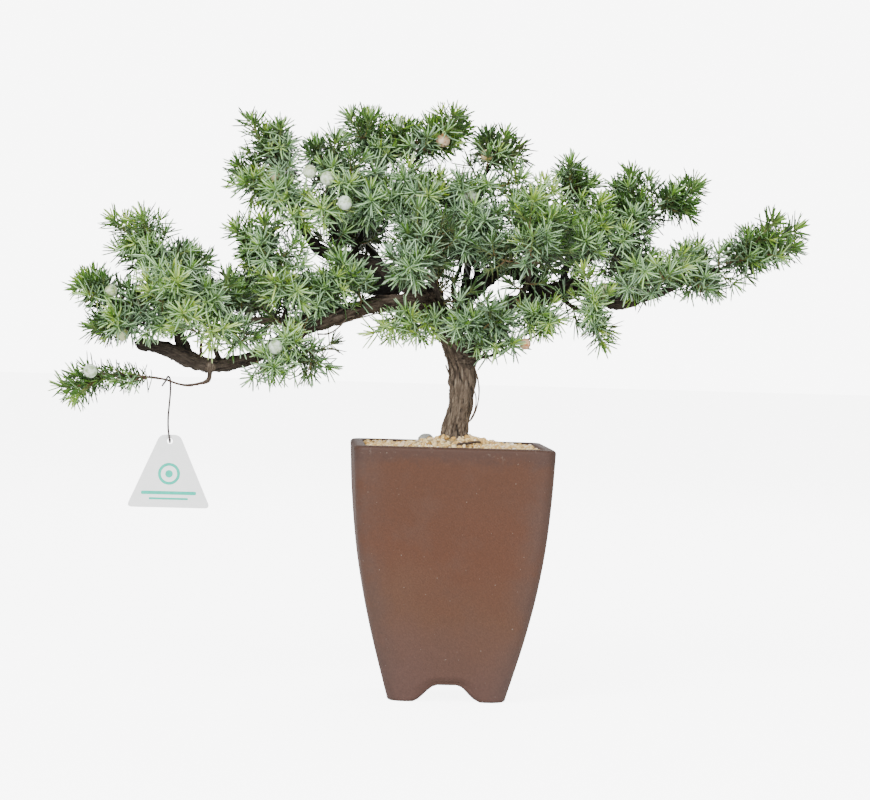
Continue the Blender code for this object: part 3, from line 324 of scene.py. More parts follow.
# Wood: each branch is a route of (x, y, z, radius), and starts inside the wood it grows from.
BRANCHES = {
    "trunk": [
        (1.6, 0, 126, 7.6), (1.5, 0, 138, 9.2), (1.6, 0, 147, 8.6), (2.6, 0, 155, 7.2),
        (4.4, 0, 166, 6.8), (5.8, 0, 178, 7.3), (5.4, 0, 189, 7.7), (2.4, 0, 199, 7.4),
        (-3, 1, 208, 6.9), (-8.5, 1, 217, 6.6), (-13, 1, 227, 6.2),
    ],
    "left_main": [
        (-6, 0, 217, 5.8), (-17, -1, 223.5, 5.4), (-30, -2, 224.5, 4.7), (-45, -3, 223, 4.4),
        (-58, -4, 219, 4.6), (-70, -5, 214.6, 4.9), (-82, -6, 210, 4.5), (-92, -6, 205, 4.2),
        (-102, -6, 198, 3.8), (-112, -7, 191.7, 3.5), (-123, -8, 188, 3.9),
        (-134, -8, 186, 3.9), (-144, -8, 186.8, 4.2), (-154, -7, 191, 4.4),
        (-163, -7, 194.3, 3.7), (-172, -6, 196, 3.4), (-178.5, -6, 197, 3.1),
    ],
    "left_upper": [
        (-56, -2, 220, 3.0), (-70, 2, 219.6, 2.6), (-80, 4, 216.5, 2.4), (-90, 5, 213.2, 2.3),
        (-100, 5, 211.7, 2.2), (-115, 4, 212, 2.1), (-130, 2, 212.6, 2.1), (-142, 0, 214.4, 2.0),
        (-152, -1, 218, 1.9), (-162, 0, 220, 1.8),
    ],
    "left_riser": [
        (-151, -7, 190, 3.4), (-154.5, -5, 198, 3.1), (-158, -3, 206, 2.6), (-162, 0, 214, 2.3),
        (-166, 3, 224, 2.0), (-167.5, 5, 234, 1.8), (-167, 5, 243, 1.5), (-171, 2, 252, 1.3),
        (-177, -1, 258, 1.1),
    ],
    "left_shoot": [
        (-158, -3, 207, 1.7), (-167, -4, 210.5, 1.5), (-177, -4, 213.5, 1.4),
        (-188.5, -5, 217.5, 1.3), (-195, -5, 221.5, 1.2), (-199, -5, 224.5, 1.0),
    ],
    "left_low_shoot": [
        (-165, -5, 210, 1.2), (-173, -8, 208, 1.1), (-181, -9, 208, 1.0),
    ],
    "tag_twig": [
        (-137.5, -10, 188, 1.8), (-138.2, -11, 182, 1.6), (-139.4, -11.4, 177.2, 1.4),
        (-144, -11.7, 175.3, 1.0), (-150, -12, 174.2, 0.9), (-156, -12, 174.8, 0.85),
        (-163, -12, 177, 0.8), (-172, -12, 178.2, 0.8), (-186, -12, 178.6, 0.75),
        (-199, -12, 178.8, 0.7),
    ],
    "left_thin_riser": [
        (-143.5, -9, 189, 1.1), (-143.8, -10, 197, 0.9), (-142.6, -10, 203, 0.8),
        (-138, -9, 208, 0.7),
    ],
    "left_stub": [
        (-132.5, -8, 187, 2.0), (-134.5, -8, 192, 1.5), (-136, -8.5, 195.5, 1.3),
    ],
    "left_column": [
        (-98, 5, 211.7, 1.7), (-96, 3, 223, 1.4), (-98, 1, 235, 1.3), (-104, 0, 247, 1.1),
    ],
    "left_back": [
        (-92, -5, 206, 2.2), (-99, 9, 212, 1.8), (-108, 24, 219, 1.5), (-116, 38, 226, 1.2),
    ],
    "left_far_back": [
        (-140, 0, 214.2, 1.6), (-146, 14, 219, 1.4), (-152, 27, 226, 1.1),
    ],
    "left_drooper": [
        (-83, -6, 208, 1.6), (-88, -12, 201, 1.1), (-84, -16, 196.5, 0.9),
    ],
    "left_limb": [
        (-10, 2, 224, 5.4), (-24, 4, 233, 5.0), (-36, 6, 239, 4.8), (-48, 8, 245.5, 4.3),
        (-58, 8, 249, 3.6), (-70, 6, 250.5, 3.2), (-79, 4, 254.5, 3.0), (-86, 3, 262.5, 2.7),
        (-90.5, 2, 271, 2.4), (-94, 2, 281, 2.0), (-99, 2, 292, 1.6), (-106, 1, 301, 1.2),
    ],
    "left_limb_inner": [
        (-60, 8, 249, 2.3), (-57, 9, 256, 1.9), (-53, 12, 264, 1.7), (-49, 13, 276, 1.5),
        (-46, 12, 292, 1.3), (-43, 9, 304, 1.1),
    ],
    "left_limb_middle": [
        (-67, 6, 250, 2.0), (-68, 3, 258, 1.6), (-70, 0, 267, 1.4), (-73, -2, 282, 1.2),
        (-76, -2, 296, 1.0),
    ],
    "left_limb_back": [
        (-38, 7, 240, 2.6), (-44, 20, 249, 2.0), (-52, 34, 259, 1.6), (-60, 48, 271, 1.2),
    ],
    "centre_stem": [
        (-12, 2, 228, 2.8), (-12, 3, 240, 1.7), (-11, 3, 254, 1.4), (-16, 4, 270, 1.2),
        (-22, 5, 286, 1.1), (-27, 5, 299, 1.0), (-21, 4, 311, 0.9),
    ],
    "centre_front": [
        (-3, -1, 211, 3.0), (-7, -13, 223, 2.2), (-14, -23, 236, 1.8), (-22, -30, 245, 1.3),
    ],
    "centre_back": [
        (-1, 4, 213, 3.4), (4, 16, 226, 2.7), (8, 30, 240, 2.2), (9, 43, 254, 1.7),
        (5, 55, 268, 1.3),
    ],
    "low_twig": [
        (6, -5, 196, 1.7), (13, -9, 194.5, 1.2), (20, -11, 195.5, 1.0), (28, -12, 199, 0.9),
        (36, -12, 203.5, 0.8), (44, -12, 206.5, 0.8), (49, -12, 210, 0.7),
    ],
    "right_main": [
        (7, 1, 191, 6.0), (13, 2, 205, 5.5), (22, 3, 217.5, 5.0), (34, 4, 225.3, 4.8),
        (48, 4, 229, 4.9), (60, 5, 234, 5.2), (71, 6, 236, 4.5), (80, 6, 232.4, 3.4),
        (88, 6, 230.2, 4.2), (95, 6, 229.6, 5.3), (103, 6, 230.6, 3.8), (112, 6, 232.4, 2.7),
        (120, 6, 235, 2.1), (128, 5, 238.8, 1.6), (136, 4, 243, 1.3), (146, 4, 247.5, 1.1),
        (157, 4, 250.8, 1.0), (166, 3, 257.5, 0.9),
    ],
    "centre_arch": [
        (-1, 3, 207, 4.6), (3, 4, 218, 4.8), (8, 4, 230, 4.6), (17, 3, 239, 4.4),
        (26, 1, 246, 4.4), (35, 0, 246, 4.8), (43, 1, 240, 4.8), (50, 3, 231.5, 4.4),
    ],
    "centre_riser": [
        (26, 1, 245, 3.4), (22, -2, 255, 2.8), (17, -4, 264, 2.2), (13, -4, 278, 1.6),
        (12, -4, 290, 1.4), (14.5, -4, 298, 1.2), (18.5, -3, 305, 1.0),
    ],
    "right_riser_thin": [
        (38, 1, 244, 1.8), (41, 3, 252, 1.2), (42, 5, 262, 1.1), (41, 4, 273, 1.0),
    ],
    "right_riser": [
        (51, 3, 233, 2.0), (52.5, 5, 246, 1.3), (55, 6, 257, 1.2), (60, 8, 272, 1.1),
        (65, 7, 288, 0.9),
    ],
    "right_back": [
        (61, 6, 235, 2.6), (64, 19, 243, 2.0), (67, 33, 251, 1.6), (72, 47, 260, 1.2),
    ],
    "right_front": [
        (36, 3, 226, 2.4), (38, -9, 232, 1.9), (40, -20, 240, 1.5), (40, -28, 249, 1.2),
    ],
    "right_upper": [
        (112, 6, 232, 2.0), (104, 5, 242, 1.9), (97, 3, 249.5, 1.8), (91, 1, 255, 1.7),
        (94, 1, 262, 1.5), (98, 1, 268, 1.4), (104, 2, 274, 1.2), (112, 3, 280, 1.1),
        (118, 3, 284.5, 1.0),
    ],
    "right_upper_twig": [
        (92, 1, 255, 1.5), (83, 0, 254, 1.3), (74, -1, 251.5, 1.1),
    ],
    "right_end_back": [
        (112, 6, 232.4, 1.8), (108, 18, 238, 1.4), (104, 30, 245, 1.1),
    ],
    "hanging_shoot": [
        (62, 4, 230.5, 1.8), (66, 0, 226, 1.3), (71, -3, 223.5, 1.1), (78, -5, 220, 1.0),
        (82, -6, 214, 0.9),
    ],
}

# Foliage: each spray has the point where it leaves its branch, then the tips of its shoots.
SPRAYS = {
    "left_tip": [(-198, -5, 225), (-211, -10, 230), (-205, 4, 234), (-208, -18, 224)],
    "left_lower_tip": [(-180, -9, 209), (-190, -22, 206), (-204, -12, 206), (-198, 4, 212)],
    "left_top": [(-168, 5, 247), (-195, 4, 267), (-179, -10, 269), (-184, 16, 246),
                 (-175, -14, 247)],
    "left_crest": [(-164, 5, 240), (-150, 10, 248), (-159, 22, 250), (-143, -4, 243)],
    "left_front": [(-164, 0, 222), (-158, -30, 234), (-150, -22, 240), (-174, -22, 233),
                   (-154, -34, 215)],
    "left_inner": [(-178, -4, 215), (-186, -2, 227), (-177, 14, 223), (-170, -18, 212)],
    "left_back": [(-148, 18, 221), (-166, 38, 234), (-150, 46, 240), (-138, 38, 229),
                  (-160, 24, 228)],
    "left_ridge": [(-131, 1, 215), (-140, -16, 229), (-128, -4, 234), (-122, 14, 225)],
    "left_under": [(-128, -2, 210), (-138, -26, 205), (-121, -24, 199), (-113, -18, 204)],
    "left_drop": [(-97, -10, 203), (-103, -30, 188), (-96, -32, 203), (-78, -26, 189)],
    "column_top": [(-104, 0, 247), (-125, -6, 262), (-110, -12, 267), (-118, 12, 254)],
    "column_low": [(-97, 2, 228), (-88, -20, 254), (-104, -22, 235), (-90, -24, 229),
                   (-111, 8, 226)],
    "middle": [(-75, 3, 221), (-85, -6, 233), (-66, -22, 247), (-60, -24, 239), (-74, -20, 231)],
    "main_under": [(-32, -5, 220), (-46, -18, 207), (-27, -22, 209), (-17, -22, 212)],
    "left_back_low": [(-110, 28, 221), (-128, 50, 236), (-112, 62, 242), (-102, 46, 232),
                      (-119, 34, 230)],
    "crown_left_top": [(-106, 1, 301), (-117, -4, 324), (-102, -12, 321), (-98, 14, 314)],
    "crown_left_edge": [(-97, 2, 288), (-125, 2, 300), (-121, -12, 290), (-105, -18, 283),
                        (-90, -20, 274)],
    "crown_mid_left": [(-75, -2, 295), (-81, -12, 311), (-71, -16, 315), (-62, 6, 301)],
    "crown_mid": [(-49, 10, 279), (-61, -24, 290), (-50, -30, 281), (-58, 4, 270)],
    "crown_top": [(-43, 9, 303), (-62, -4, 328), (-53, 12, 330), (-35, 0, 324), (-26, 8, 323)],
    "crown_right_top": [(-21, 4, 311), (-4, -2, 332), (1, 10, 326), (-14, 4, 324)],
    "crown_centre": [(-22, 4, 284), (-32, -16, 295), (-40, -20, 286), (-17, -24, 286)],
    "crown_heart": [(-15, 4, 266), (-30, -36, 264), (-20, -38, 272), (-34, -24, 273)],
    "crown_knot": [(-22, -30, 245), (-38, -44, 250), (-28, -50, 244), (-16, -44, 255)],
    "crown_back": [(-50, 34, 258), (-74, 56, 280), (-58, 72, 288), (-46, 54, 282),
                   (-68, 38, 270)],
    "centre_fan": [(6, -3, 268), (0, -26, 293), (8, -30, 280), (-10, -12, 295)],
    "centre_dark": [(8, -5, 257), (-6, -30, 266), (4, -34, 260), (21, -26, 268), (26, -20, 258)],
    "centre_back": [(8, 40, 251), (-10, 68, 280), (6, 84, 290), (20, 66, 280), (-2, 42, 268),
                    (18, 44, 264)],
    "right_head": [(18, -3, 305), (26, -4, 320), (15, 6, 320), (31, 4, 313)],
    "right_rosette": [(41, 3, 272), (41, -38, 284), (32, -22, 295), (52, -22, 290)],
    "right_flank": [(40, -28, 249), (51, -40, 275), (40, -46, 263), (62, -26, 270)],
    "right_spire": [(65, 7, 288), (64, -2, 306), (77, 4, 296), (69, 14, 300)],
    "right_shelf": [(72, 2, 258), (81, -14, 284), (84, -16, 275), (72, -24, 262)],
    "right_back": [(70, 40, 255), (62, 62, 276), (78, 74, 282), (88, 58, 272), (76, 46, 266)],
    "right_end_back": [(105, 28, 244), (116, 44, 256), (102, 52, 260), (96, 36, 258)],
    "right_column": [(98, 1, 268), (94, -14, 263), (102, -10, 275), (93, 12, 294), (100, 4, 301)],
    "right_branch_tip": [(117, 3, 284), (123, -4, 291), (136, 6, 297), (133, 2, 285)],
    "right_low": [(112, 4, 239), (93, -16, 240), (101, -22, 250), (120, -22, 245),
                  (127, -14, 255)],
    "right_outer": [(136, 4, 245), (131, -8, 259), (140, 6, 261), (143, -12, 237), (149, 8, 240)],
    "far_right": [(157, 3, 252), (181, -6, 277), (196, 6, 273), (192, -8, 262), (176, 12, 257)],
    "hanging": [(80, -6, 217), (77, -24, 232), (71, -26, 245), (84, -10, 206), (88, -4, 212)],
    "front_fan": [(14, -8, 206), (18, -36, 221), (5, -32, 214), (30, -26, 217), (31, -24, 203)],
    "front_right_low": [(40, 0, 223), (49, -22, 220), (57, -20, 217), (42, -18, 213)],
    "tag_sprig": [(-174, -12, 178), (-186, -12, 180), (-217, -12, 172), (-209, -18, 168)],
}


def place(point):
    """A point in millimetres from the middle of the pot's foot, as a point in the scene."""
    return ORIGIN + Vector(point) * MM


# Mesh making


def linked(name, data):
    """A new object in the scene."""
    obj = bpy.data.objects.new(name, data)
    bpy.context.scene.collection.objects.link(obj)
    return obj


def object_from_arrays(name, verts, faces, uvs=None):
    """A mesh object from corners in table millimetres, and faces of equal size in each array.

    uvs, if given, holds one (n, corners, 2) array for each array of faces.
    """
    verts = np.asarray(verts, float) * MM + np.array(ORIGIN)
    counts = np.concatenate([np.full(len(block), block.shape[1]) for block in faces])
    corners = np.concatenate([block.ravel() for block in faces])
    data = bpy.data.meshes.new(name)
    data.vertices.add(len(verts))
    data.vertices.foreach_set("co", verts.ravel())
    data.loops.add(len(corners))
    data.loops.foreach_set("vertex_index", corners.astype(np.int32))
    data.polygons.add(len(counts))
    starts = np.concatenate([[0], np.cumsum(counts)[:-1]])
    data.polygons.foreach_set("loop_start", starts.astype(np.int32))
    data.polygons.foreach_set("loop_total", counts.astype(np.int32))
    data.update(calc_edges=True)
    if uvs is not None:
        layer = data.uv_layers.new(name=PALETTE)
        flat = np.concatenate([block.reshape(-1, 2) for block in uvs])
        layer.uv.foreach_set("vector", flat.astype(np.float32).ravel())
    data.validate()
    return linked(name, data)


def object_from_bmesh(name, bm):
    """A mesh object from a bmesh in table millimetres."""
    bmesh.ops.recalc_face_normals(bm, faces=bm.faces)
    bm.transform(Matrix.Translation(ORIGIN) @ Matrix.Scale(MM, 4))
    data = bpy.data.meshes.new(name)
    bm.to_mesh(data)
    bm.free()
    return linked(name, data)


def finish_piece(obj, material, replaced=(), smooth=True):
    """Material, shading and the piece's place in the frame."""
    obj.data.materials.clear()
    obj.data.materials.append(material)
    if obj.type == "MESH":
        obj.data.shade_smooth() if smooth else obj.data.shade_flat()
    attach(obj, "root")
    if replaced:
        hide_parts(*replaced)
    return obj


def set_values(obj, name, values):
    """A number, or three, on each corner of a mesh, for a shader to read."""
    kind, field = ("FLOAT", "value") if np.ndim(values) == 1 else ("FLOAT_VECTOR", "vector")
    layer = obj.data.attributes.new(name, kind, "POINT")
    layer.data.foreach_set(field, np.asarray(values, np.float32).ravel())


def unit(vectors):
    return vectors / np.maximum(np.linalg.norm(vectors, axis=-1, keepdims=True), 1e-12)


def smooth_path(points, step):
    """Points about a step apart on a Catmull-Rom curve. Columns past the third ride along."""
    points = np.asarray(points, float)
    padded = np.vstack([2 * points[0] - points[1], points, 2 * points[-1] - points[-2]])
    out = []
    for p0, p1, p2, p3 in zip(padded, padded[1:], padded[2:], padded[3:]):
        count = max(1, round(float(np.linalg.norm((p2 - p1)[:3])) / step))
        t = (np.arange(count) / count)[:, None]
        out.append(0.5 * (
            2 * p1 + (p2 - p0) * t + (2 * p0 - 5 * p1 + 4 * p2 - p3) * t ** 2
            + (3 * p1 - 3 * p2 + p3 - p0) * t ** 3
        ))
    out.append(points[-1:])
    return np.vstack(out)


def frames_along(path):
    """Unit tangents, and two unit normals that turn as little as possible along the path."""
    tangents = unit(np.gradient(path, axis=0))
    start = np.array([0.0, 0.0, 1.0]) if abs(tangents[0][2]) < 0.9 else np.array([1.0, 0.0, 0.0])
    normals = np.empty_like(tangents)
    normal = start
    for i, tangent in enumerate(tangents):
        normal = normal - tangent * normal.dot(tangent)
        normal /= np.linalg.norm(normal)
        normals[i] = normal
    return tangents, normals, np.cross(tangents, normals)


def tube_rings(path, radii, sides):
    """Corners of a round tube, ring by ring, with a point at each end."""
    tangents, normals, binormals = frames_along(path)
    angles = np.arange(sides) * 2 * math.pi / sides
    rings = (
        path[:, None]
        + radii[:, None, None] * (
            np.cos(angles)[None, :, None] * normals[:, None]
            + np.sin(angles)[None, :, None] * binormals[:, None]
        )
    )
    ends = np.array([path[0] - tangents[0] * radii[0] * 0.5, path[-1] + tangents[-1] * radii[-1]])
    return np.vstack([rings.reshape(-1, 3), ends])


def ring_quads(rings, sides, closed=False):
    """Quads between neighbouring rings of corners, and from the last to the first if closed."""
    ring, side = np.meshgrid(np.arange(rings if closed else rings - 1), np.arange(sides), indexing="ij")
    after, turn = (ring + 1) % rings, (side + 1) % sides
    return np.stack([
        ring * sides + side, ring * sides + turn, after * sides + turn, after * sides + side,
    ], axis=-1).reshape(-1, 4)


def tube_faces(rings, sides):
    """(quads, triangles) of tube_rings' corners."""
    quads = ring_quads(rings, sides)
    one = np.arange(sides)
    two = (one + 1) % sides
    first, last = rings * sides, rings * sides + 1
    top = (rings - 1) * sides
    start = np.stack([two, one, np.full(sides, first)], axis=-1)
    end = np.stack([top + one, top + two, np.full(sides, last)], axis=-1)
    return quads, np.vstack([start, end])


def object_from_tubes(name, tubes):
    """One mesh of several round tubes, and its corners. tubes lists (path, radii, sides)."""
    verts, quads, tris, start = [], [], [], 0
    for path, radii, sides in tubes:
        verts.append(tube_rings(path, radii, sides))
        square, three = tube_faces(len(path), sides)
        quads.append(square + start)
        tris.append(three + start)
        start += len(verts[-1])
    verts = np.vstack(verts)
    return object_from_arrays(name, verts, [np.vstack(quads), np.vstack(tris)]), verts


# Noise


def lattice(cells, seed):
    """A random number from 0 to 1 for each whole-number cell."""
    mixed = cells.astype(np.int64) * np.array([73856093, 19349663, 83492791])
    value = (mixed[..., 0] ^ mixed[..., 1] ^ mixed[..., 2]) + seed * 2654435761
    value = (value ^ (value >> 13)) * 1274126177 & 0xFFFFFFFF
    value = (value ^ (value >> 16)) * 668265263 & 0xFFFFFFFF
    return (value ^ (value >> 15) & 0xFFFFFFFF) / 0xFFFFFFFF % 1.0


def value_noise(points, seed):
    """Smooth random values from 0 to 1 at points in cells of size 1."""
    base = np.floor(points)
    part = points - base
    part = part * part * (3 - 2 * part)
    total = np.zeros(len(points))
    for corner in range(8):
        step = np.array([corner & 1, corner >> 1 & 1, corner >> 2 & 1])
        weight = np.prod(np.where(step == 1, part, 1 - part), axis=1)
        total += weight * lattice(base + step, seed)
    return total


def fractal(points, seed, octaves=3):
    total, weight, size = np.zeros(len(points)), 0.0, 1.0
    for octave in range(octaves):
        total += value_noise(points * size, seed + octave) / size
        weight += 1 / size
        size *= 2.0
    return total / weight


def smoothstep(low, high, value):
    share = np.clip((value - low) / (high - low), 0, 1)
    return share * share * (3 - 2 * share)


# Materials


def rgb(code):
    """A colour written as six hex digits, as linear values for a shader."""
    values = [int(code[i:i + 2], 16) / 255 for i in (0, 2, 4)]
    linear = [v / 12.92 if v <= 0.04045 else ((v + 0.055) / 1.055) ** 2.4 for v in values]
    return (*linear, 1.0)


class Surface:
    """A material whose colour, roughness and bump are built up from nodes."""

    def __init__(self, name, roughness, specular=0.5):
        self.material = bpy.data.materials.new(name)
        self.material.use_nodes = True
        self.tree = self.material.node_tree
        self.shader = self.tree.nodes["Principled BSDF"]
        self.shader.inputs["Roughness"].default_value = roughness
        self.shader.inputs["Specular IOR Level"].default_value = specular

    def node(self, kind, inputs=(), **settings):
        made = self.tree.nodes.new(kind)
        for setting, value in settings.items():
            setattr(made, setting, value)
        for socket, value in dict(inputs).items():
            if isinstance(value, bpy.types.NodeSocket):
                self.tree.links.new(value, made.inputs[socket])
            else:
                made.inputs[socket].default_value = value
        return made

    def place(self):
        """Object coordinates."""
        return self.node("ShaderNodeTexCoord").outputs["Object"]

    def attribute(self, name, output="Fac"):
        return self.node("ShaderNodeAttribute", attribute_name=name).outputs[output]

    def scaled(self, vector, scale):
        return self.node("ShaderNodeMapping", {"Vector": vector, "Scale": scale}).outputs[0]

    def noise(self, vector, scale, detail=3.0, roughness=0.55):
        values = {"Vector": vector, "Scale": scale, "Detail": detail, "Roughness": roughness}
        return self.node("ShaderNodeTexNoise", values).outputs["Fac"]

    def ramp(self, value, stops):
        """Colours along a value: stops is a list of (place, hex colour)."""
        made = self.node("ShaderNodeValToRGB", {"Fac": value})
        points = made.color_ramp.elements
        while len(points) < len(stops):
            points.new(0.5)
        for point, (position, colour) in zip(points, stops):
            point.position = position
            point.color = rgb(colour)
        return made.outputs["Color"]

    def mask(self, value, low, high):
        """0 below low and 1 above high, or the other way round if low is the larger."""
        values = {"Value": value, "From Min": low, "From Max": high}
        return self.node("ShaderNodeMapRange", values, interpolation_type="SMOOTHSTEP").outputs[0]

    def mix(self, factor, first, second, blend="MIX"):
        made = self.tree.nodes.new("ShaderNodeMix")
        made.data_type = "RGBA"
        made.blend_type = blend
        for index, value in ((0, factor), (6, first), (7, second)):
            if isinstance(value, bpy.types.NodeSocket):
                self.tree.links.new(value, made.inputs[index])
            elif isinstance(value, str):
                made.inputs[index].default_value = rgb(value)
            else:
                made.inputs[index].default_value = value
        return made.outputs[2]

    def stain(self, base, where, strength, colour):
        """The base with a share of a colour over it where the mask is 1."""
        return self.mix(where, base, self.mix(strength, base, colour))

    def math(self, operation, first, second):
        return self.node("ShaderNodeMath", {0: first, 1: second}, operation=operation).outputs[0]

    def colour(self, socket):
        self.tree.links.new(socket, self.shader.inputs["Base Color"])

    def rough(self, value, low, high):
        values = {"Value": value, "To Min": low, "To Max": high}
        made = self.node("ShaderNodeMapRange", values).outputs[0]
        self.tree.links.new(made, self.shader.inputs["Roughness"])

    def bump(self, height, distance, strength=1.0):
        values = {"Height": height, "Distance": distance, "Strength": strength}
        made = self.node("ShaderNodeBump", values).outputs[0]
        self.tree.links.new(made, self.shader.inputs["Normal"])


def needle_surface():
    """Colours laid out on the palette map: across is the needle's tone, whose dark end is partly painted
    shade, and up is which face.
    """
    surface = Surface("juniper_needles", 0.4, specular=0.5)
    spot = surface.node("ShaderNodeUVMap", uv_map=PALETTE).outputs[0]
    parts = surface.node("ShaderNodeSeparateXYZ", {0: spot}).outputs
    tone, zone = parts[0], parts[1]
    under = surface.ramp(tone, UNDER_COLOURS)
    upper = surface.ramp(tone, UPPER_COLOURS)
    along = surface.mask(zone, 0.02, 0.16)
    under = surface.mix(along, surface.mix(0.45, under, BASE_COLOUR), under)
    # Painted shade: the underside darkened near the needle's tip.
    under = surface.stain(under, surface.mask(zone, 0.24, 0.3), 0.6, TIP_PAINTED_SHADE)
    band_up = surface.mask(zone, 0.41, 0.48)
    band_down = surface.mask(zone, 0.59, 0.52)
    band = surface.math("MULTIPLY", band_up, band_down)
    band = surface.math("MULTIPLY", band, surface.mask(tone, -0.3, 0.25))
    upper = surface.mix(band, upper, surface.ramp(tone, BAND_COLOURS))
    leaf = surface.mix(surface.mask(zone, 0.31, 0.34), under, upper)
    stem = surface.ramp(zone, STEM_COLOURS)
    surface.colour(surface.mix(surface.mask(zone, 0.66, 0.69), leaf, stem))
    return surface.material


def bark_surface():
    """Streaks and fissures that run along each branch, by the coordinates made with the wood, and painted
    shade that darkens the limbs inside the crown to near black.
    """
    surface = Surface("fissured_bark", 0.92, specular=0.25)
    along = surface.attribute("bark_place", "Vector")
    streaks = surface.noise(surface.scaled(along, (0.16, 1.1, 1.1)), 1.0, 4.0, 0.62)
    fine = surface.noise(surface.scaled(along, (0.45, 3.2, 3.2)), 1.0, 3.0, 0.6)
    patches = surface.noise(surface.place(), 70.0, 2.0)
    base = surface.ramp(streaks, BARK_COLOURS)
    base = surface.mix(surface.mask(patches, 0.45, 0.7), base, surface.ramp(fine, BARK_PATCHES))
    ridge = surface.attribute("ridge")
    base = surface.stain(base, surface.mask(ridge, 0.5, 0.05), 0.8, NEAR_BLACK)
    young = surface.attribute("young")
    base = surface.mix(young, base, surface.ramp(fine, TWIG_COLOURS))
    # Painted shade: each branch's shade value darkens its bark towards near black, for the shadow inside
    # the crown.
    shade = surface.attribute("shade")
    base = surface.stain(base, shade, 0.96, NEAR_BLACK)
    surface.colour(base)
    surface.rough(fine, 0.8, 1.0)
    surface.bump(surface.mix(0.5, streaks, fine), 0.0006, 0.9)
    return surface.material


def clay_surface():
    """Unglazed stoneware: warm brown, mauve-grey low down and at the edges, with stains at the rim."""
    surface = Surface("unglazed_stoneware", 0.66, specular=0.4)
    place_of = surface.place()
    height = surface.node("ShaderNodeSeparateXYZ", {0: place_of}).outputs[2]
    blotches = surface.noise(place_of, 16.0, 3.0, 0.5)
    cloud = surface.noise(place_of, 42.0, 4.0, 0.6)
    grain = surface.noise(place_of, 900.0, 2.0, 0.6)
    rise = surface.math("ADD", height, surface.math("MULTIPLY", blotches, 0.075))
    base = surface.ramp(surface.mask(rise, 0.03, 0.17), CLAY_COLOURS)
    base = surface.stain(base, surface.mask(cloud, 0.45, 0.75), 0.5, CLAY_CLOUD)
    edge_mask = surface.math("MULTIPLY", surface.attribute("edge"), surface.mask(cloud, 0.25, 0.6))
    base = surface.stain(base, edge_mask, 0.55, CLAY_EDGE)
    wobble = surface.math("MULTIPLY", surface.noise(place_of, 120.0, 4.0, 0.65), 0.018)
    stained = surface.mask(surface.math("ADD", height, wobble), 0.141, 0.15)
    base = surface.stain(base, stained, 0.6, CLAY_RIM)
    salt = surface.noise(place_of, 260.0, 5.0, 0.7)
    near_rim = surface.mask(height, 0.13, 0.142)
    salt_band = surface.math("MULTIPLY", surface.mask(salt, 0.58, 0.74), near_rim)
    base = surface.stain(base, salt_band, 0.22, CLAY_SALT)
    specks = surface.noise(place_of, 650.0, 1.0, 0.5)
    base = surface.stain(base, surface.mask(specks, 0.77, 0.8), 0.5, CLAY_SALT)
    dark_grain = surface.mix(0.14, base, NEAR_BLACK)
    surface.colour(surface.mix(surface.mask(grain, 0.3, 0.7), dark_grain, base))
    surface.rough(cloud, 0.56, 0.74)
    surface.bump(surface.mix(0.35, grain, cloud), 0.00025, 0.5)
    return surface.material


def palette_surface(name, roughness, colours, bump=0.0002):
    """Grains whose colour is read from the palette map: across is the tone, and up is painted shade, darker
    towards the dents.
    """
    surface = Surface(name, roughness, specular=0.35)
    spot = surface.node("ShaderNodeUVMap", uv_map=PALETTE).outputs[0]
    parts = surface.node("ShaderNodeSeparateXYZ", {0: spot}).outputs
    base = surface.ramp(parts[0], colours)
    shaded = surface.mix(0.4, base, PAINTED_DENT_SHADE)
    surface.colour(surface.mix(surface.mask(parts[1], 0.0, 1.0), shaded, base))
    surface.bump(surface.noise(surface.place(), 1400.0, 2.0), bump, 0.6)
    return surface.material


def mottled_surface(name, roughness, dark, light, scale, bump):
    """A plain material mottled from a darker to a lighter colour, with a fine bump."""
    surface = Surface(name, roughness)
    pattern = surface.noise(surface.place(), scale, 4.0, 0.6)
    surface.colour(surface.ramp(pattern, [(0.3, dark), (0.7, light)]))
    surface.rough(pattern, roughness - 0.07, min(roughness + 0.07, 1.0))
    surface.bump(pattern, bump, 0.7)
    return surface.material


def cone_surface():
    """Green skin under a pale waxy bloom that has rubbed off in places."""
    surface = Surface("cone_bloom", 0.5, specular=0.4)
    place_of = surface.place()
    tint = surface.attribute("tint")
    skin = surface.ramp(tint, CONE_SKINS)
    bloom = surface.ramp(tint, CONE_BLOOMS)
    rubbed = surface.noise(place_of, 330.0, 4.0, 0.65)
    surface.colour(surface.mix(surface.mask(rubbed, 0.36, 0.6), skin, bloom))
    surface.rough(rubbed, 0.4, 0.65)
    surface.bump(rubbed, 0.0001, 0.4)
    return surface.material


# Pot


def outer_half(z):
    share = np.clip(z / POT_HEIGHT, 0, 1)
    straight = POT_FOOT_HALF + (POT_TOP_HALF - POT_FOOT_HALF) * share
    return straight + POT_BELLY * np.sin(math.pi * share)


def square_ring(half, corner, per_side=18, per_corner=8):
    """Points round a square with rounded corners, the same number for any size."""
    straight = half - corner
    out = []
    for turn in range(4):
        angle = turn * math.pi / 2
        side = [(half, y) for y in np.linspace(-straight, straight, per_side, endpoint=False)]
        bend = [
            (straight + corner * math.cos(a), straight + corner * math.sin(a))
            for a in np.linspace(0, math.pi / 2, per_corner, endpoint=False)
        ]
        for x, y in side + bend:
            out.append((
                x * math.cos(angle) - y * math.sin(angle), x * math.sin(angle) + y * math.cos(angle)
            ))
    return np.array(out)


def arch_height(ring):
    """How far the foot's edge is lifted at each point of a ring, by its place along its side."""
    reach = np.minimum(np.abs(ring[:, 0]), np.abs(ring[:, 1]))
    share = (ARCH_FOOT_HALF - reach) / (ARCH_FOOT_HALF - ARCH_TOP_HALF)
    return ARCH_HEIGHT * (1 - np.cos(math.pi * np.clip(share, 0, 1))) / 2


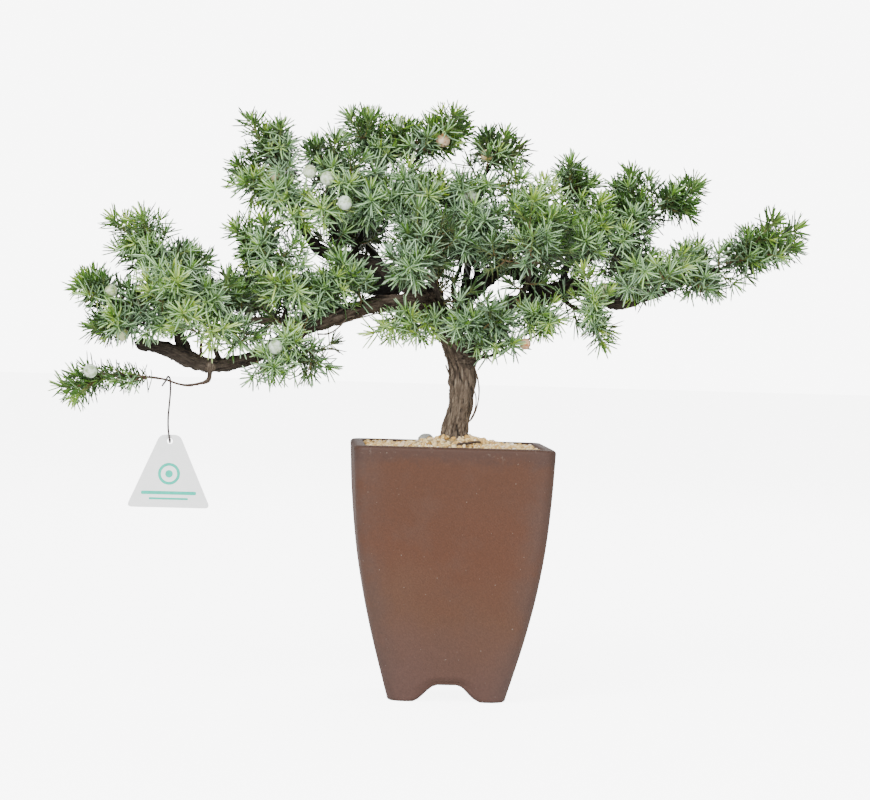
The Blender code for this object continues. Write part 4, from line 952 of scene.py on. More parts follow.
def make_pot(clay):
    """One loft: down the drain hole, over the foot, up the wall, over the rim and down inside."""
    count = len(square_ring(10, 2))
    spread = np.arctan2(*square_ring(10, 2).T[::-1])
    circle = np.stack([np.cos(spread), np.sin(spread)], axis=1) * DRAIN_RADIUS
    rings = []

    def add(flat, z):
        rings.append(np.column_stack([flat, np.broadcast_to(z, count)]))

    floor = FLOOR_UNDERSIDE + FLOOR_THICKNESS
    recess = POT_FOOT_HALF - FOOT_SKIRT
    add(circle, floor)
    add(circle, FLOOR_UNDERSIDE)
    inner = square_ring(recess, 3.0)
    add(inner * 0.6, FLOOR_UNDERSIDE)
    add(inner, FLOOR_UNDERSIDE)
    lift = np.minimum(arch_height(square_ring(POT_FOOT_HALF, POT_CORNER)), FLOOR_UNDERSIDE - 0.4)
    add(inner, lift)
    for step in range(5):
        angle = math.radians(22.5 * step)
        half = outer_half(FOOT_ROUND) - FOOT_ROUND * (1 - math.sin(angle))
        add(square_ring(half, POT_CORNER), lift + FOOT_ROUND * (1 - math.cos(angle)))
    for share in np.linspace(0, 1, 7)[1:]:
        z = lift + FOOT_ROUND + (FOOT_TOP - lift - FOOT_ROUND) * share
        level_half = float(outer_half(FOOT_TOP * share))
        ring = square_ring(level_half, POT_CORNER)
        add(ring * (outer_half(z) / level_half)[:, None], z)
    for z in np.linspace(FOOT_TOP, POT_HEIGHT - RIM_ROUND, 26)[1:]:
        add(square_ring(float(outer_half(z)), POT_CORNER), z)
    for step in range(1, 5):
        angle = math.radians(22.5 * step)
        half = float(outer_half(POT_HEIGHT)) - RIM_ROUND * (1 - math.cos(angle))
        add(square_ring(half, POT_CORNER), POT_HEIGHT - RIM_ROUND + RIM_ROUND * math.sin(angle))
    inside = float(outer_half(POT_HEIGHT)) - POT_WALL
    add(square_ring(inside + 1.2, POT_INNER_CORNER), POT_HEIGHT)
    add(square_ring(inside + 0.3, POT_INNER_CORNER), POT_HEIGHT - 0.5)
    for z in np.linspace(POT_HEIGHT - 2.0, floor + 4, 12):
        add(square_ring(float(outer_half(z)) - POT_WALL, POT_INNER_CORNER), z)
    low_half = float(outer_half(floor)) - POT_WALL
    add(square_ring(low_half - 1.5, POT_INNER_CORNER), floor)
    add(square_ring(low_half, POT_INNER_CORNER) * 0.5, floor)
    verts = np.vstack(rings)

    hand = fractal(verts / 30 + 5, 3, 2) - 0.5
    outwards = unit(np.column_stack([verts[:, :2], np.zeros(len(verts))]))
    swell = smoothstep(8, 40, verts[:, 2]) * smoothstep(POT_HEIGHT, POT_HEIGHT - 20, verts[:, 2])
    verts = verts + outwards * (hand * 0.7 * swell)[:, None]
    pot = object_from_arrays("stoneware_pot", verts, [ring_quads(len(rings), count, closed=True)])
    reach = np.minimum(np.abs(verts[:, 0]), np.abs(verts[:, 1]))
    half = outer_half(verts[:, 2])
    near_edge = smoothstep(half * 0.62, half - POT_CORNER * 0.5, reach)
    set_values(pot, "edge", near_edge)
    return finish_piece(pot, clay, ["pot"])


# Gravel and what lies on it


def gravel_top(x, y):
    level = POT_HEIGHT - GRAVEL_BELOW_RIM
    mound = MOUND_HEIGHT * np.exp(-((x - 4) ** 2 + y ** 2) / MOUND_RADIUS ** 2)
    lumps = np.sin(0.9 * x + 1.3 * np.sin(0.5 * y)) * np.cos(0.8 * y + 0.6 * x)
    return level + mound + 0.5 * lumps


def ball(subdivisions):
    """Corners and faces of a round ball of radius 1."""
    bm = bmesh.new()
    bmesh.ops.create_icosphere(bm, subdivisions=subdivisions, radius=1.0)
    verts = np.array([vert.co[:] for vert in bm.verts])
    faces = np.array([[vert.index for vert in face.verts] for face in bm.faces])
    bm.free()
    return verts, faces


def random_turns(rng, count):
    """Random rotation matrices."""
    quaternions = unit(rng.normal(size=(count, 4)))
    w, x, y, z = quaternions.T
    return np.stack([
        1 - 2 * (y * y + z * z), 2 * (x * y - w * z), 2 * (x * z + w * y),
        2 * (x * y + w * z), 1 - 2 * (x * x + z * z), 2 * (y * z - w * x),
        2 * (x * z - w * y), 2 * (y * z + w * x), 1 - 2 * (x * x + y * y),
    ], axis=1).reshape(-1, 3, 3)


def scattered_stones(name, places, radii, rng, tones):
    """Rough little stones at the places, each turned and dented in its own way."""
    round_verts, round_faces = ball(2)
    count, corners = len(places), len(round_verts)
    seeds = rng.uniform(0, 500, (count, 1, 3))
    dents = fractal((round_verts[None] * 1.1 + seeds).reshape(-1, 3), 11, 2).reshape(count, corners)
    flats = np.floor(dents * 6) / 6 * 0.7 + dents * 0.3
    shape = round_verts[None] * (0.5 + 0.9 * flats)[..., None]
    shape *= rng.uniform(0.72, 1.2, (count, 1, 3)) * radii[:, None, None]
    shape = np.einsum("nij,nkj->nki", random_turns(rng, count), shape)
    verts = (shape + places[:, None]).reshape(-1, 3)
    faces = (round_faces[None] + (np.arange(count) * corners)[:, None, None]).reshape(-1, 3)
    tone = np.repeat(tones, len(round_faces))[:, None]
    # Painted shade: the map's up value is low where the stone is dented in, so the stone is darker there.
    light = dents.reshape(-1)[faces]
    uvs = np.stack([np.broadcast_to(tone, light.shape), np.clip(light * 1.6 - 0.2, 0.02, 0.98)], axis=-1)
    return object_from_arrays(name, verts, [faces], [uvs])


def make_gravel(material):
    rng = np.random.default_rng(21)
    half = float(outer_half(POT_HEIGHT)) - POT_WALL - 1.3
    flat = rng.uniform(-half, half, (STONE_COUNT, 2))
    trunk = np.hypot(flat[:, 0] - 2, flat[:, 1])
    flat = flat[trunk > TRUNK_CLEARANCE]
    radii = rng.uniform(0.85, 1.75, len(flat))
    height = gravel_top(flat[:, 0], flat[:, 1]) + rng.uniform(-1.0, 0.7, len(flat)) - 0.2
    tones = np.clip(rng.normal(0.5, 0.25, len(flat)), 0.01, 0.99)
    places = np.column_stack([flat, height])
    stones = scattered_stones("gravel_stones", places, radii, rng, tones)
    return finish_piece(stones, material)


def make_grey_stone(material):
    x, y = STONE_PLACE
    places = np.array([(x, y, gravel_top(x, y) + 1.6)])
    verts, faces = ball(4)
    lumps = fractal(verts * 1.3 + 3, 17, 4)
    shape = verts * (0.75 + 0.5 * lumps)[:, None] * np.array(STONE_SIZE)
    stone = object_from_arrays("grey_pebble", shape + places, [faces])
    return finish_piece(stone, material, ["grey_stone"])


def make_fallen_twig(material):
    points = [(2.5, -31.0), (5.5, -28.6), (9.0, -25.0), (12.5, -22.4), (15.5, -21.0)]
    route = [(x, y, float(gravel_top(x, y)) + 2.0) for x, y in points]
    fork = [(9.0, -25.0, route[2][2]), (11.0, -26.6, route[2][2] + 0.6), (13.6, -27.2, route[2][2] + 0.9)]
    tubes = []
    for line, thick in ((route, 0.95), (fork, 0.5)):
        path = smooth_path(line, 0.8)
        radii = thick * (1 - 0.35 * np.linspace(0, 1, len(path)))
        tubes.append((path, radii * (0.85 + 0.3 * value_noise(path * 1.1, 9)), 10))
    twig, _ = object_from_tubes("dead_twig", tubes)
    return finish_piece(twig, material, ["fallen_twig"])


# Wood


def wood_paths():
    """Each branch's centre line as an array of (x, y, z, radius)."""
    routes = BRANCHES | INNER_WOOD
    return {name: smooth_path(route, 1.0) for name, route in routes.items()}


def bark_place_of(points, paths):
    """For each point: its place along and across its branch, the branch's radius and its painted shade."""
    rows = []
    for index, (name, path) in enumerate(paths.items()):
        _, normals, binormals = frames_along(path[:, :3])
        steps = np.linalg.norm(np.diff(path[:, :3], axis=0), axis=1)
        along = np.concatenate([[0], np.cumsum(steps)]) + BARK_OFFSET * index
        shade = np.linspace(*BRANCH_PAINTED_SHADE.get(name, INNER_SHADE), len(path))
        rows.append(np.column_stack([path, normals, binormals, along, shade]))
    rows = np.vstack(rows)
    tree = kdtree.KDTree(len(rows))
    for index, row in enumerate(rows):
        tree.insert(row[:3], index)
    tree.balance()
    nearest = []
    for point in points:
        found = tree.find_n(point, 5)
        nearest.append(min(found, key=lambda hit: hit[2] - rows[hit[1], 3])[1])
    own = rows[nearest]
    away = points - own[:, :3]
    across = np.stack([(away * own[:, 4:7]).sum(1), (away * own[:, 7:10]).sum(1)], axis=1)
    place_of = np.column_stack([own[:, 10], across])
    return place_of, own[:, 3], own[:, 11]


def ridges_of(place_of):
    """0 in a fissure and 1 on a plate of bark, in long strips that wind round the branch."""
    turn = place_of[:, 0] * 0.035
    across = np.stack([
        place_of[:, 1] * np.cos(turn) - place_of[:, 2] * np.sin(turn),
        place_of[:, 1] * np.sin(turn) + place_of[:, 2] * np.cos(turn),
    ], axis=1)
    strips = np.column_stack([place_of[:, 0] / 15.0, across / 1.7])
    broad = 1 - 2.4 * np.abs(fractal(strips, 31, 2) - 0.5)
    flakes = fractal(np.column_stack([place_of[:, 0] / 4.0, across / 0.9]) + 40, 47, 2)
    return smoothstep(1.0, 0.55, broad) * 0.65 + 0.35 * smoothstep(0.3, 0.6, flakes)


def make_wood(bark):
    paths = wood_paths()
    rough, _ = object_from_tubes("wood_tubes", [
        (path[:, :3], path[:, 3], 28 if path[:, 3].max() > THICK_BRANCH else 10)
        for path in paths.values()
    ])
    remesh = rough.modifiers.new("one body", "REMESH")
    remesh.mode = "VOXEL"
    remesh.voxel_size = WOOD_VOXEL * MM
    graph = bpy.context.evaluated_depsgraph_get()
    data = bpy.data.meshes.new_from_object(rough.evaluated_get(graph))
    bpy.data.objects.remove(rough, do_unlink=True)
    wood = linked("tree_bark", data)

    count = len(data.vertices)
    spots = np.empty(count * 3)
    data.vertices.foreach_get("co", spots)
    normals = np.empty(count * 3)
    data.vertices.foreach_get("normal", normals)
    spots, normals = spots.reshape(-1, 3), normals.reshape(-1, 3)
    points = (spots - np.array(ORIGIN)) / MM
    place_of, radius, shade = bark_place_of(points, paths)
    ridge = ridges_of(place_of)
    lumps = fractal(points / 7.5, 71, 2) - 0.5
    knobs = np.maximum(fractal(points / 3.6, 83, 2) - 0.5, 0) * smoothstep(0.15, 0.6, shade)
    depth = np.minimum(0.25 * radius, 1.5)
    push = depth * (ridge - 0.62) + lumps * np.minimum(0.34 * radius, 1.9)
    push = push + knobs * np.minimum(0.9 * radius, 4.2)
    spots = spots + normals * (push * MM)[:, None]
    data.vertices.foreach_set("co", spots.ravel())
    set_values(wood, "ridge", ridge)
    set_values(wood, "shade", shade)
    set_values(wood, "young", smoothstep(1.5, 0.9, radius))
    set_values(wood, "bark_place", place_of)
    data.update()
    return finish_piece(wood, bark, ["tree_wood"])


def make_bark_strips(bark):
    """Strips that have come away from the trunk and the left limb, and stay joined at their ends."""
    tubes = []
    for route, radius in BARK_STRIPS:
        path = smooth_path(route, 0.9)
        tubes.append((path, radius * (0.75 + 0.5 * value_noise(path * 0.9, 13)), 7))
    strips, points = object_from_tubes("bark_strips", tubes)
    place_of = np.column_stack([points[:, 2], points[:, 0] * 0.6, points[:, 1] * 0.6])
    for name, value in (("ridge", 0.7), ("shade", 0.12), ("young", 0.0)):
        set_values(strips, name, np.full(len(points), value))
    set_values(strips, "bark_place", place_of)
    return finish_piece(strips, bark)


# Foliage


class Foliage:
    """Needles and shoot stems of one spray, gathered as arrays."""

    def __init__(self, seed):
        self.rng = np.random.default_rng(seed)
        self.verts, self.quads, self.tris = [], [], []
        self.quad_uvs, self.tri_uvs = [], []
        self.count = 0

    def add(self, verts, quads, quad_uvs, tris, tri_uvs):
        self.verts.append(verts)
        self.quads.append(quads + self.count)
        self.tris.append(tris + self.count)
        self.quad_uvs.append(quad_uvs)
        self.tri_uvs.append(tri_uvs)
        self.count += len(verts)

    def needles(self, bases, ways, uppers, lengths, widths, tones):
        """Three-sided blades. ways point to the tips, and uppers out of the faces with the band."""
        count = len(bases)
        ways = unit(ways)
        uppers = unit(uppers - ways * (uppers * ways).sum(1, keepdims=True))
        sides = np.cross(ways, uppers)
        bends = self.rng.normal(0.03, 0.05, count)[:, None]
        sways = self.rng.normal(0, 0.04, count)[:, None]
        columns = []
        stations = ((0.0, 0.65, 0.8), (0.35, 1.0, 1.0), (0.87, 0.82, 0.8))
        for along, wide, keel in stations:
            middle = bases + ways * (lengths * along)[:, None]
            middle = middle + (uppers * bends + sides * sways) * (lengths * along ** 2)[:, None]
            edge = sides * (widths * wide)[:, None]
            low = uppers * (widths / NEEDLE_HALF_WIDTH * NEEDLE_KEEL * keel)[:, None]
            columns += [middle - edge, middle - low, middle + edge]
        columns.append(bases + (ways + uppers * bends + sides * sways) * lengths[:, None])
        verts = np.stack(columns, axis=1).reshape(-1, 3)
        first = (np.arange(count) * 10)[:, None, None]
        quad_shape = np.array([
            (0, 1, 4, 3), (1, 2, 5, 4), (2, 0, 3, 5), (3, 4, 7, 6), (4, 5, 8, 7), (5, 3, 6, 8),
        ])
        tri_shape = np.array([(6, 7, 9), (7, 8, 9), (8, 6, 9), (0, 2, 1)])
        zone_quads = np.array([
            (0.0, 0.0, 0.1, 0.1), (0.0, 0.0, 0.1, 0.1), (0.64, 0.36, 0.36, 0.64),
            (0.1, 0.1, 0.22, 0.22), (0.1, 0.1, 0.22, 0.22), (0.64, 0.36, 0.36, 0.64),
        ])
        zone_tris = np.array([
            (0.22, 0.22, 0.3), (0.22, 0.22, 0.3), (0.64, 0.36, 0.5), (0.0, 0.0, 0.0),
        ])
        tone = np.clip(tones, 0.01, 0.99)[:, None, None]
        quad_uvs = np.stack(np.broadcast_arrays(tone, zone_quads[None]), axis=-1)
        tri_uvs = np.stack(np.broadcast_arrays(tone, zone_tris[None]), axis=-1)
        self.add(
            verts, (quad_shape[None] + first).reshape(-1, 4), quad_uvs.reshape(-1, 4, 2),
            (tri_shape[None] + first).reshape(-1, 3), tri_uvs.reshape(-1, 3, 2),
        )

    def stem(self, path, radii, young):
        """A shoot's stem. young is from 0 for old wood to 1 for a green tip, along the path."""
        sides = 5
        verts = tube_rings(path, radii, sides)
        quads, tris = tube_faces(len(path), sides)
        zone = np.repeat(0.72 + 0.26 * np.broadcast_to(young, len(path)), sides)
        zone = np.concatenate([zone, zone[:1], zone[-1:]])
        quad_uvs = np.stack([np.full(quads.shape, 0.5), zone[quads]], axis=-1)
        tri_uvs = np.stack([np.full(tris.shape, 0.5), zone[tris]], axis=-1)
        self.add(verts, quads, quad_uvs, tris, tri_uvs)

    def shoot(self, path, tone, bare=0.0, length=NEEDLE_LENGTH, old=0.4, thick=STEM_RADIUS):
        """Whorls of three needles along a path, closing to a tuft at its tip."""
        rng = self.rng
        steps = np.linalg.norm(np.diff(path, axis=0), axis=1)
        along = np.concatenate([[0], np.cumsum(steps)])
        total = along[-1]
        share = along / total
        self.stem(path, thick * (1.25 - 0.75 * share), old + (1 - old) * share)
        places = np.arange(bare * total, total, WHORL_GAP)
        places = places + rng.uniform(-0.25, 0.25, len(places))
        tangents, normals, binormals = frames_along(path)
        tufts = np.full(TIP_WHORLS, total - 0.2)
        at = np.repeat(np.concatenate([places, tufts]), 3)
        whorl = np.arange(len(at)) // 3
        turn = (whorl % 2) * math.pi / 3 + (np.arange(len(at)) % 3) * 2 * math.pi / 3
        turn = turn + rng.normal(0, 0.22, len(at)) + rng.uniform(0, math.pi)
        at = np.clip(at, 0, total)
        origin, ahead, one, two = (
            np.stack([np.interp(at, along, rows[:, i]) for i in range(3)], axis=1)
            for rows in (path, tangents, normals, binormals)
        )
        ahead = unit(ahead)
        part = at / total
        lean = np.radians(74 - 16 * part ** 2) + rng.normal(0, 0.2, len(at))
        tuft = whorl >= len(places)
        rank = (whorl - len(places)) / max(TIP_WHORLS - 1, 1)
        lean = np.where(tuft, np.radians(58 - 40 * rank) + rng.normal(0, 0.14, len(at)), lean)
        out = np.cos(turn)[:, None] * one + np.sin(turn)[:, None] * two
        ways = np.cos(lean)[:, None] * ahead + np.sin(lean)[:, None] * out
        lengths = length * rng.uniform(0.82, 1.1, len(at))
        lengths = np.where(tuft, lengths * (0.95 - 0.2 * rank), lengths)
        widths = NEEDLE_HALF_WIDTH * rng.uniform(0.85, 1.15, len(at)) * np.minimum(lengths / 9, 1)
        tones = tone - 0.06 + 0.22 * (part - 0.6) + rng.normal(0, 0.1, len(at))
        tones = np.where(tuft, tone + 0.02 + 0.26 * rank, tones)
        dead = (rng.uniform(size=len(at)) < DEAD_SHARE) & (part < 0.6)
        tones = np.where(dead, rng.uniform(0.01, 0.07, len(at)), np.maximum(tones, 0.13))
        self.needles(origin, ways, ahead, lengths, widths, tones)

    def bent_path(self, start, tip, lift=0.12):
        """A gently arched line between two points, about 1.5 mm a step."""
        start, tip = np.asarray(start, float), np.asarray(tip, float)
        span = np.linalg.norm(tip - start)
        middle = (start + tip) / 2 + self.rng.normal(0, 0.07, 3) * span
        middle[2] -= lift * span
        share = np.linspace(0, 1, max(4, int(span / 1.5)))[:, None]
        return (1 - share) ** 2 * start + 2 * share * (1 - share) * middle + share ** 2 * tip

    def branchlet(self, start, tip, tone, length=NEEDLE_LENGTH, laterals=True, lift=0.12):
        """A shoot from start to tip, with short side shoots where it is long enough."""
        rng = self.rng
        path = self.bent_path(start, tip, lift)
        span = np.linalg.norm(path[-1] - path[0])
        bare = np.clip(0.35 * (span - 12) / max(span, 1), 0.0, 0.35)
        self.shoot(path, tone, bare, length)
        if not laterals:
            return
        tangents, normals, binormals = frames_along(path)
        spread = rng.uniform(0, 2 * math.pi)
        for share in np.arange(0.3, 0.85, LATERAL_STEP / max(span, 1)):
            index = int(share * (len(path) - 1))
            spread += SHOOT_TURN
            out = math.cos(spread) * normals[index] + math.sin(spread) * binormals[index]
            way = unit(0.62 * tangents[index] + 0.8 * out + np.array([0, 0, 0.12]))
            reach = rng.uniform(0.28, 0.5) * min(span, 24)
            side = self.bent_path(path[index], path[index] + way * reach, 0.05)
            self.shoot(side, tone + rng.normal(0, 0.08), 0.1, length * 0.88, 0.6, STEM_RADIUS * 0.7)

    def spray(self, base, tips, tone, fill):
        """The shoots to the tips, and `fill` more that end between them."""
        base, tips = np.asarray(base, float), np.asarray(tips, float)
        for tip in tips:
            self.branchlet(base, tip, tone + self.rng.normal(0, 0.1))
        for _ in range(fill):
            weights = self.rng.dirichlet(np.full(len(tips), 0.6))
            tip = base + (weights @ tips - base) * self.rng.uniform(0.7, 1.0)
            tip = tip + self.rng.normal(0, 2.6, 3)
            self.branchlet(base, tip, tone + self.rng.normal(0, 0.12))

    def piece(self, name, material, replaced):
        faces = [np.vstack(self.quads), np.vstack(self.tris)]
        uvs = [np.concatenate(self.quad_uvs), np.concatenate(self.tri_uvs)]
        obj = object_from_arrays(name, np.vstack(self.verts), faces, uvs)
        return finish_piece(obj, material, replaced, smooth=False)


def nearest_spray(point):
    """The spray whose shoots come nearest to a point."""
    def distance(name):
        return min(np.linalg.norm(np.subtract(tip, point)) for tip in SPRAYS[name])
    return min(SPRAYS, key=distance)


def single_shoots(paths):
    """Shoots read off one by one, and short ones all along the thin wood: {spray: [(start, tip, tone)]}."""
    rng = np.random.default_rng(9)
    found = {name: [] for name in SPRAYS}
    thin = np.vstack([path[path[:, 3] < BEARING_RADIUS] for path in paths.values()])
    for x, y, z, tone in ROSETTES:
        tip = np.array([x, y, z])
        away = tip - thin[:, :3]
        cost = np.linalg.norm(away, axis=1) + 0.6 * np.maximum(-away[:, 2], 0)
        cost = cost + 0.3 * np.maximum(14 - np.linalg.norm(away, axis=1), 0)
        start = thin[np.argmin(cost), :3]
        found[nearest_spray(tip)].append((start, tip, tone))
    for name, path in paths.items():
        if name in BARE_BRANCHES:
            continue
        tangents, normals, binormals = frames_along(path[:, :3])
        turn = rng.uniform(0, 2 * math.pi)
        for index in range(3, len(path), INNER_SHOOT_STEP):
            if path[index, 3] > INNER_SHOOT_RADIUS:
                continue
            turn += SHOOT_TURN + rng.normal(0, 0.3)
            out = math.cos(turn) * normals[index] + math.sin(turn) * binormals[index]
            way = unit(out + 0.5 * tangents[index] + np.array([0, 0, 0.25]))
            start = path[index, :3]
            tip = start + way * rng.uniform(8, 15)
            # Inner short shoots get dark tones, partly painted shade for the inside of the crown.
            found[nearest_spray(tip)].append((start, tip, rng.normal(0.34, 0.1)))
    return found


def dressed_runs(paths):
    """The thin ends of branches that bear needles themselves: {spray: [path]}."""
    found = {name: [] for name in SPRAYS}
    for name, limit in DRESSED.items():
        path = paths[name][:, :3]
        run = path[(path[:, 0] - limit) * np.sign(limit) > 0]
        found[nearest_spray(run[len(run) // 2])].append(run)
    return found


def make_foliage(material):
    paths = wood_paths()
    singles = single_shoots(paths)
    runs = dressed_runs(paths)
    for seed, (name, (base, *tips)) in enumerate(SPRAYS.items()):
        foliage = Foliage(100 + seed)
        tone = TONES.get(name, 0.55)
        if name in LAID_SHOOTS:
            for start, tip, length in LAID_SHOOTS[name]:
                foliage.shoot(foliage.bent_path(start, tip, 0.03), tone, 0.0, length, 0.1)
        else:
            foliage.spray(base, tips, tone, FILL.get(name, round(len(tips) * 0.9)))
        for run in runs[name]:
            foliage.shoot(run, 0.45, 0.0, 9.5, 0.3)
        for start, tip, own_tone in singles[name]:
            span = float(np.linalg.norm(tip - start))
            foliage.branchlet(start, tip, 0.08 + 0.8 * own_tone, laterals=span > 18, lift=0.2)
        foliage.piece(f"needles_{name}", material, [f"spray_{name}"])


# Cones


def make_cone(name, centre, radius, tint, tip, rng, material, replaced=()):
    """A berry-like cone with three lobes that meet in a seam at its tip."""
    verts, faces = ball(4)
    angle = np.arctan2(verts[:, 1], verts[:, 0])
    top = smoothstep(0.55, 1.0, verts[:, 2])
    seam = smoothstep(0.22, 0.0, np.abs(np.sin(1.5 * angle))) * top
    size = 1 - 0.07 * seam - 0.05 * smoothstep(0.9, 1.0, verts[:, 2])
    size = size + 0.035 * (fractal(verts * 1.6 + rng.uniform(0, 90, 3), 5, 2) - 0.5)
    shape = verts * size[:, None] * np.array([1, 1, 0.97]) * radius
    turn = Vector((0, 0, 1)).rotation_difference(Vector(tip).normalized()).to_matrix()
    shape = shape @ np.array(turn).T + np.array(centre)
    cone = object_from_arrays(name, shape, [faces])
    values = np.clip(tint + 0.25 * seam + rng.normal(0, 0.01, len(verts)), 0, 1)
    set_values(cone, "tint", values)
    return finish_piece(cone, material, replaced)


def make_cones(material):
    rng = np.random.default_rng(77)
    for name, (centre, radius, tint, tip) in CONES.items():
        replaced = [f"cone_{name}"] if f"cone_{name}" in NODES else []
        make_cone(f"berry_{name}", centre, radius, tint, tip, rng, material, replaced)


# Label


def rounded_outline(points, corner, steps=6):
    """A polygon with its corners rounded, as a list of (x, z)."""
    out = []
    for before, here, after in zip(points[-1:] + points[:-1], points, points[1:] + points[:1]):
        here = Vector(here)
        start = here + (Vector(before) - here).normalized() * corner
        end = here + (Vector(after) - here).normalized() * corner
        for i in range(steps + 1):
            t = i / steps
            out.append((1 - t) ** 2 * start + 2 * t * (1 - t) * here + t * t * end)
    return out


def flat_shape(name, outlines, y, thickness, edge=0.0):
    """A flat plate with the outlines' shape, facing -Y. Outlines inside others are holes."""
    data = bpy.data.curves.new(name, "CURVE")
    data.dimensions = "2D"
    data.fill_mode = "BOTH"
    data.extrude = thickness / 2 - edge
    data.bevel_depth = edge
    data.bevel_resolution = 2
    for outline in outlines:
        spline = data.splines.new("POLY")
        spline.points.add(len(outline) - 1)
        spline.use_cyclic_u = True
        for point, (x, z) in zip(spline.points, outline):
            point.co = (x, z, 0, 1)
    curve = linked(name, data)
    graph = bpy.context.evaluated_depsgraph_get()
    mesh = bpy.data.meshes.new_from_object(curve.evaluated_get(graph))
    bpy.data.objects.remove(curve, do_unlink=True)
    bm = bmesh.new()
    bm.from_mesh(mesh)
    bpy.data.meshes.remove(mesh)
    bmesh.ops.remove_doubles(bm, verts=bm.verts, dist=1e-5)
    bm.transform(Matrix.Translation((0, y, 0)) @ Matrix.Rotation(math.pi / 2, 4, "X"))
    return object_from_bmesh(name, bm)


def circle(x, z, radius, steps=40):
    turns = [2 * math.pi * i / steps for i in range(steps)]
    return [(x + radius * math.cos(a), z + radius * math.sin(a)) for a in turns]


def bar(x, z, width, height):
    return rounded_outline([
        (x - width / 2, z - height / 2), (x + width / 2, z - height / 2),
        (x + width / 2, z + height / 2), (x - width / 2, z + height / 2),
    ], height * 0.3, 3)


def make_label(card, ink, metal):
    hole_x, hole_y, hole_z = TAG_HOLE
    top = hole_z + TAG_HOLE_FROM_TOP
    low = top - TAG_HEIGHT
    outline = rounded_outline([
        (hole_x - TAG_TOP_WIDTH / 2, top), (hole_x - TAG_BOTTOM_WIDTH / 2, low),
        (hole_x + TAG_BOTTOM_WIDTH / 2, low), (hole_x + TAG_TOP_WIDTH / 2, top),
    ], TAG_CORNER)
    tag = flat_shape(
        "hanging_label", [outline, circle(hole_x, hole_z, TAG_HOLE_RADIUS)], hole_y, TAG_THICKNESS, 0.15
    )
    finish_piece(tag, card, ["hang_tag"], smooth=False)
    marks = [circle(hole_x, low + TAG_MARK_HEIGHT, radius) for radius in TAG_RINGS]
    marks += [bar(hole_x, low + height, width, depth) for height, width, depth in TAG_BARS]
    front = hole_y - TAG_THICKNESS / 2
    print_marks = flat_shape("label_print", marks, front - 0.02, 0.06)
    finish_piece(print_marks, ink, smooth=False)

    path = smooth_path(TAG_WIRE_ROUTE, 1.1)
    data = bpy.data.curves.new("label_wire", "CURVE")
    data.dimensions = "3D"
    data.bevel_depth = WIRE_RADIUS * MM
    data.bevel_resolution = 3
    data.use_fill_caps = True
    spline = data.splines.new("POLY")
    spline.points.add(len(path) - 1)
    for point, spot in zip(spline.points, path):
        point.co = (*place(spot), 1.0)
    wire = linked("label_wire", data)
    finish_piece(wire, metal, ["tag_wire"])


# Surroundings


def make_floor():
    bm = bmesh.new()
    bmesh.ops.create_grid(bm, x_segments=1, y_segments=1, size=FLOOR_HALF)
    data = bpy.data.meshes.new("studio_floor")
    bm.to_mesh(data)
    bm.free()
    floor = linked("studio_floor", data)
    surface = Surface("pale_floor", 0.9, specular=0.1)
    surface.shader.inputs["Base Color"].default_value = (0.9, 0.9, 0.9, 1)
    surface.shader.inputs["Emission Color"].default_value = (1, 1, 1, 1)
    seen = surface.node("ShaderNodeLightPath").outputs["Is Camera Ray"]
    glow = surface.math("MULTIPLY", seen, FLOOR_GLOW)
    surface.tree.links.new(glow, surface.shader.inputs["Emission Strength"])
    data.materials.append(surface.material)


def add_light(name, place_of, target, size, power, colour=(1, 1, 1)):
    light = bpy.data.lights.new(name, "AREA")
    light.shape = "DISK"
    light.size = size
    light.energy = power
    light.color = colour
    lamp = linked(name, light)
    lamp.location = place_of
    lamp.rotation_euler = (Vector(target) - Vector(place_of)).to_track_quat("-Z", "Y").to_euler()


def make_lights():
    world = bpy.data.worlds.new("studio")
    bpy.context.scene.world = world
    world.use_nodes = True
    tree = world.node_tree
    background = tree.nodes["Background"]
    background.inputs["Color"].default_value = (1.0, 1.0, 1.0, 1)
    seen = tree.nodes.new("ShaderNodeLightPath").outputs["Is Camera Ray"]
    strength = tree.nodes.new("ShaderNodeMapRange")
    strength.inputs["To Min"].default_value = WORLD_LIGHT
    strength.inputs["To Max"].default_value = BACKDROP_LIGHT
    tree.links.new(seen, strength.inputs["Value"])
    tree.links.new(strength.outputs[0], background.inputs["Strength"])
    middle = (0, 0, 0.2)
    add_light("key", (-0.9, -1.7, 1.5), middle, 1.3, KEY_POWER)
    add_light("fill", (1.0, -1.7, 0.7), middle, 1.4, FILL_POWER)
    add_light("back", (0.5, 1.6, 1.6), middle, 1.3, BACK_POWER)


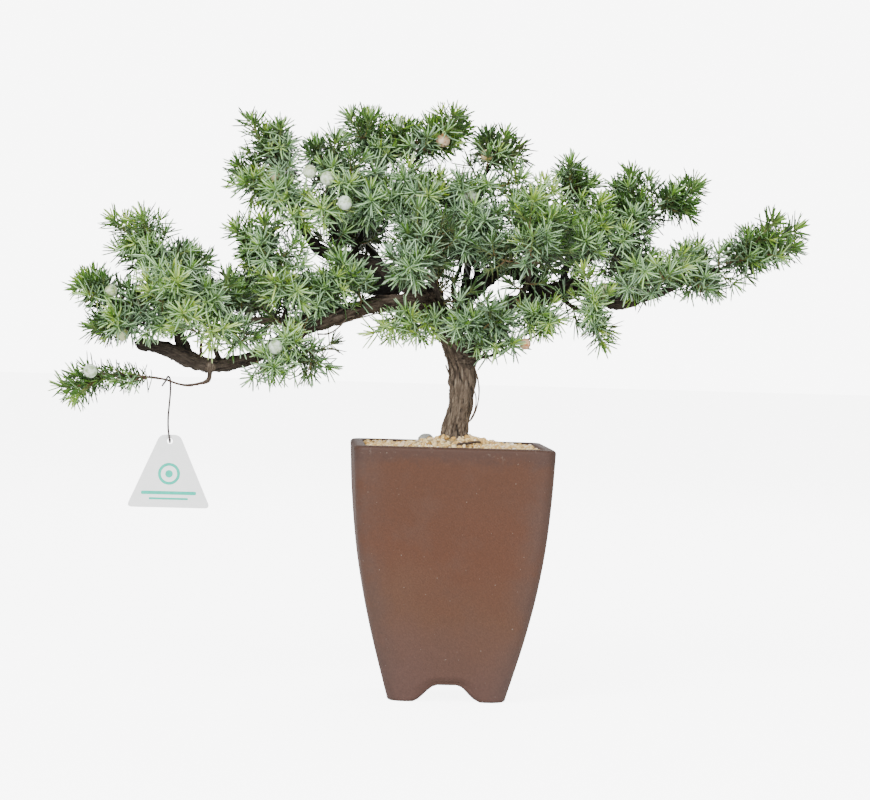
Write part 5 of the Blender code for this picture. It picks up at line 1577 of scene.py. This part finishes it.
def make_camera():
    """The camera stands left of the middle and turns, tips and rolls a little."""
    yaw, down, roll = (math.radians(a) for a in (CAMERA_YAW, CAMERA_DOWN, CAMERA_ROLL))
    ahead = Vector((math.sin(yaw) * math.cos(down), math.cos(yaw) * math.cos(down), -math.sin(down)))
    right = ahead.cross(Vector((0, 0, 1))).normalized()
    up = right.cross(ahead)
    rolled_right = math.cos(roll) * right + math.sin(roll) * up
    rolled_up = -math.sin(roll) * right + math.cos(roll) * up
    data = bpy.data.cameras.new("camera")
    data.lens = LENS
    data.sensor_width = SENSOR
    data.clip_end = 100
    camera = linked("camera", data)
    turn = Matrix((rolled_right, rolled_up, -ahead)).transposed()
    camera.matrix_world = Matrix.Translation(place(CAMERA_PLACE)) @ turn.to_4x4()
    bpy.context.scene.camera = camera


def repaint_filling():
    """The CAD nodes that stay: what fills the pot, mostly out of sight."""
    looks = {
        "drainage_mesh": ("black_mesh", 0.5, "101010", "242424", 300, 0.0001),
        "drainage_grit": ("coarse_grit", 0.95, "4a433a", "8a8072", 400, 0.001),
        "soil": ("bonsai_soil", 0.97, "2a1e15", "5a4634", 350, 0.001),
        "top_gravel": ("gravel_bed", 0.95, "6f5c40", "b39a6c", 500, 0.001),
    }
    for name, look in looks.items():
        NODES[name].data.materials.clear()
        NODES[name].data.materials.append(mottled_surface(*look))


def main():
    make_camera()
    make_lights()
    make_floor()
    repaint_filling()
    make_pot(clay_surface())
    make_gravel(palette_surface("tan_gravel", 0.8, GRAVEL_COLOURS))
    grey = mottled_surface("grey_pebble", 0.85, "6e6f6b", "a9aaa5", 380, 0.0003)
    make_grey_stone(grey)
    dead = mottled_surface("dead_twig", 0.9, "2a1f18", "54453a", 500, 0.0003)
    make_fallen_twig(dead)
    bark = bark_surface()
    make_wood(bark)
    make_bark_strips(bark)
    make_foliage(needle_surface())
    make_cones(cone_surface())
    card = mottled_surface("white_card", 0.5, "f9fbfa", "fefefe", 200, 0.00003)
    ink = mottled_surface("turquoise_ink", 0.5, "00b69c", "00c8ad", 300, 0.00003)
    metal = mottled_surface("brown_wire", 0.6, "2b2622", "423b36", 300, 0.00003)
    make_label(card, ink, metal)


main()
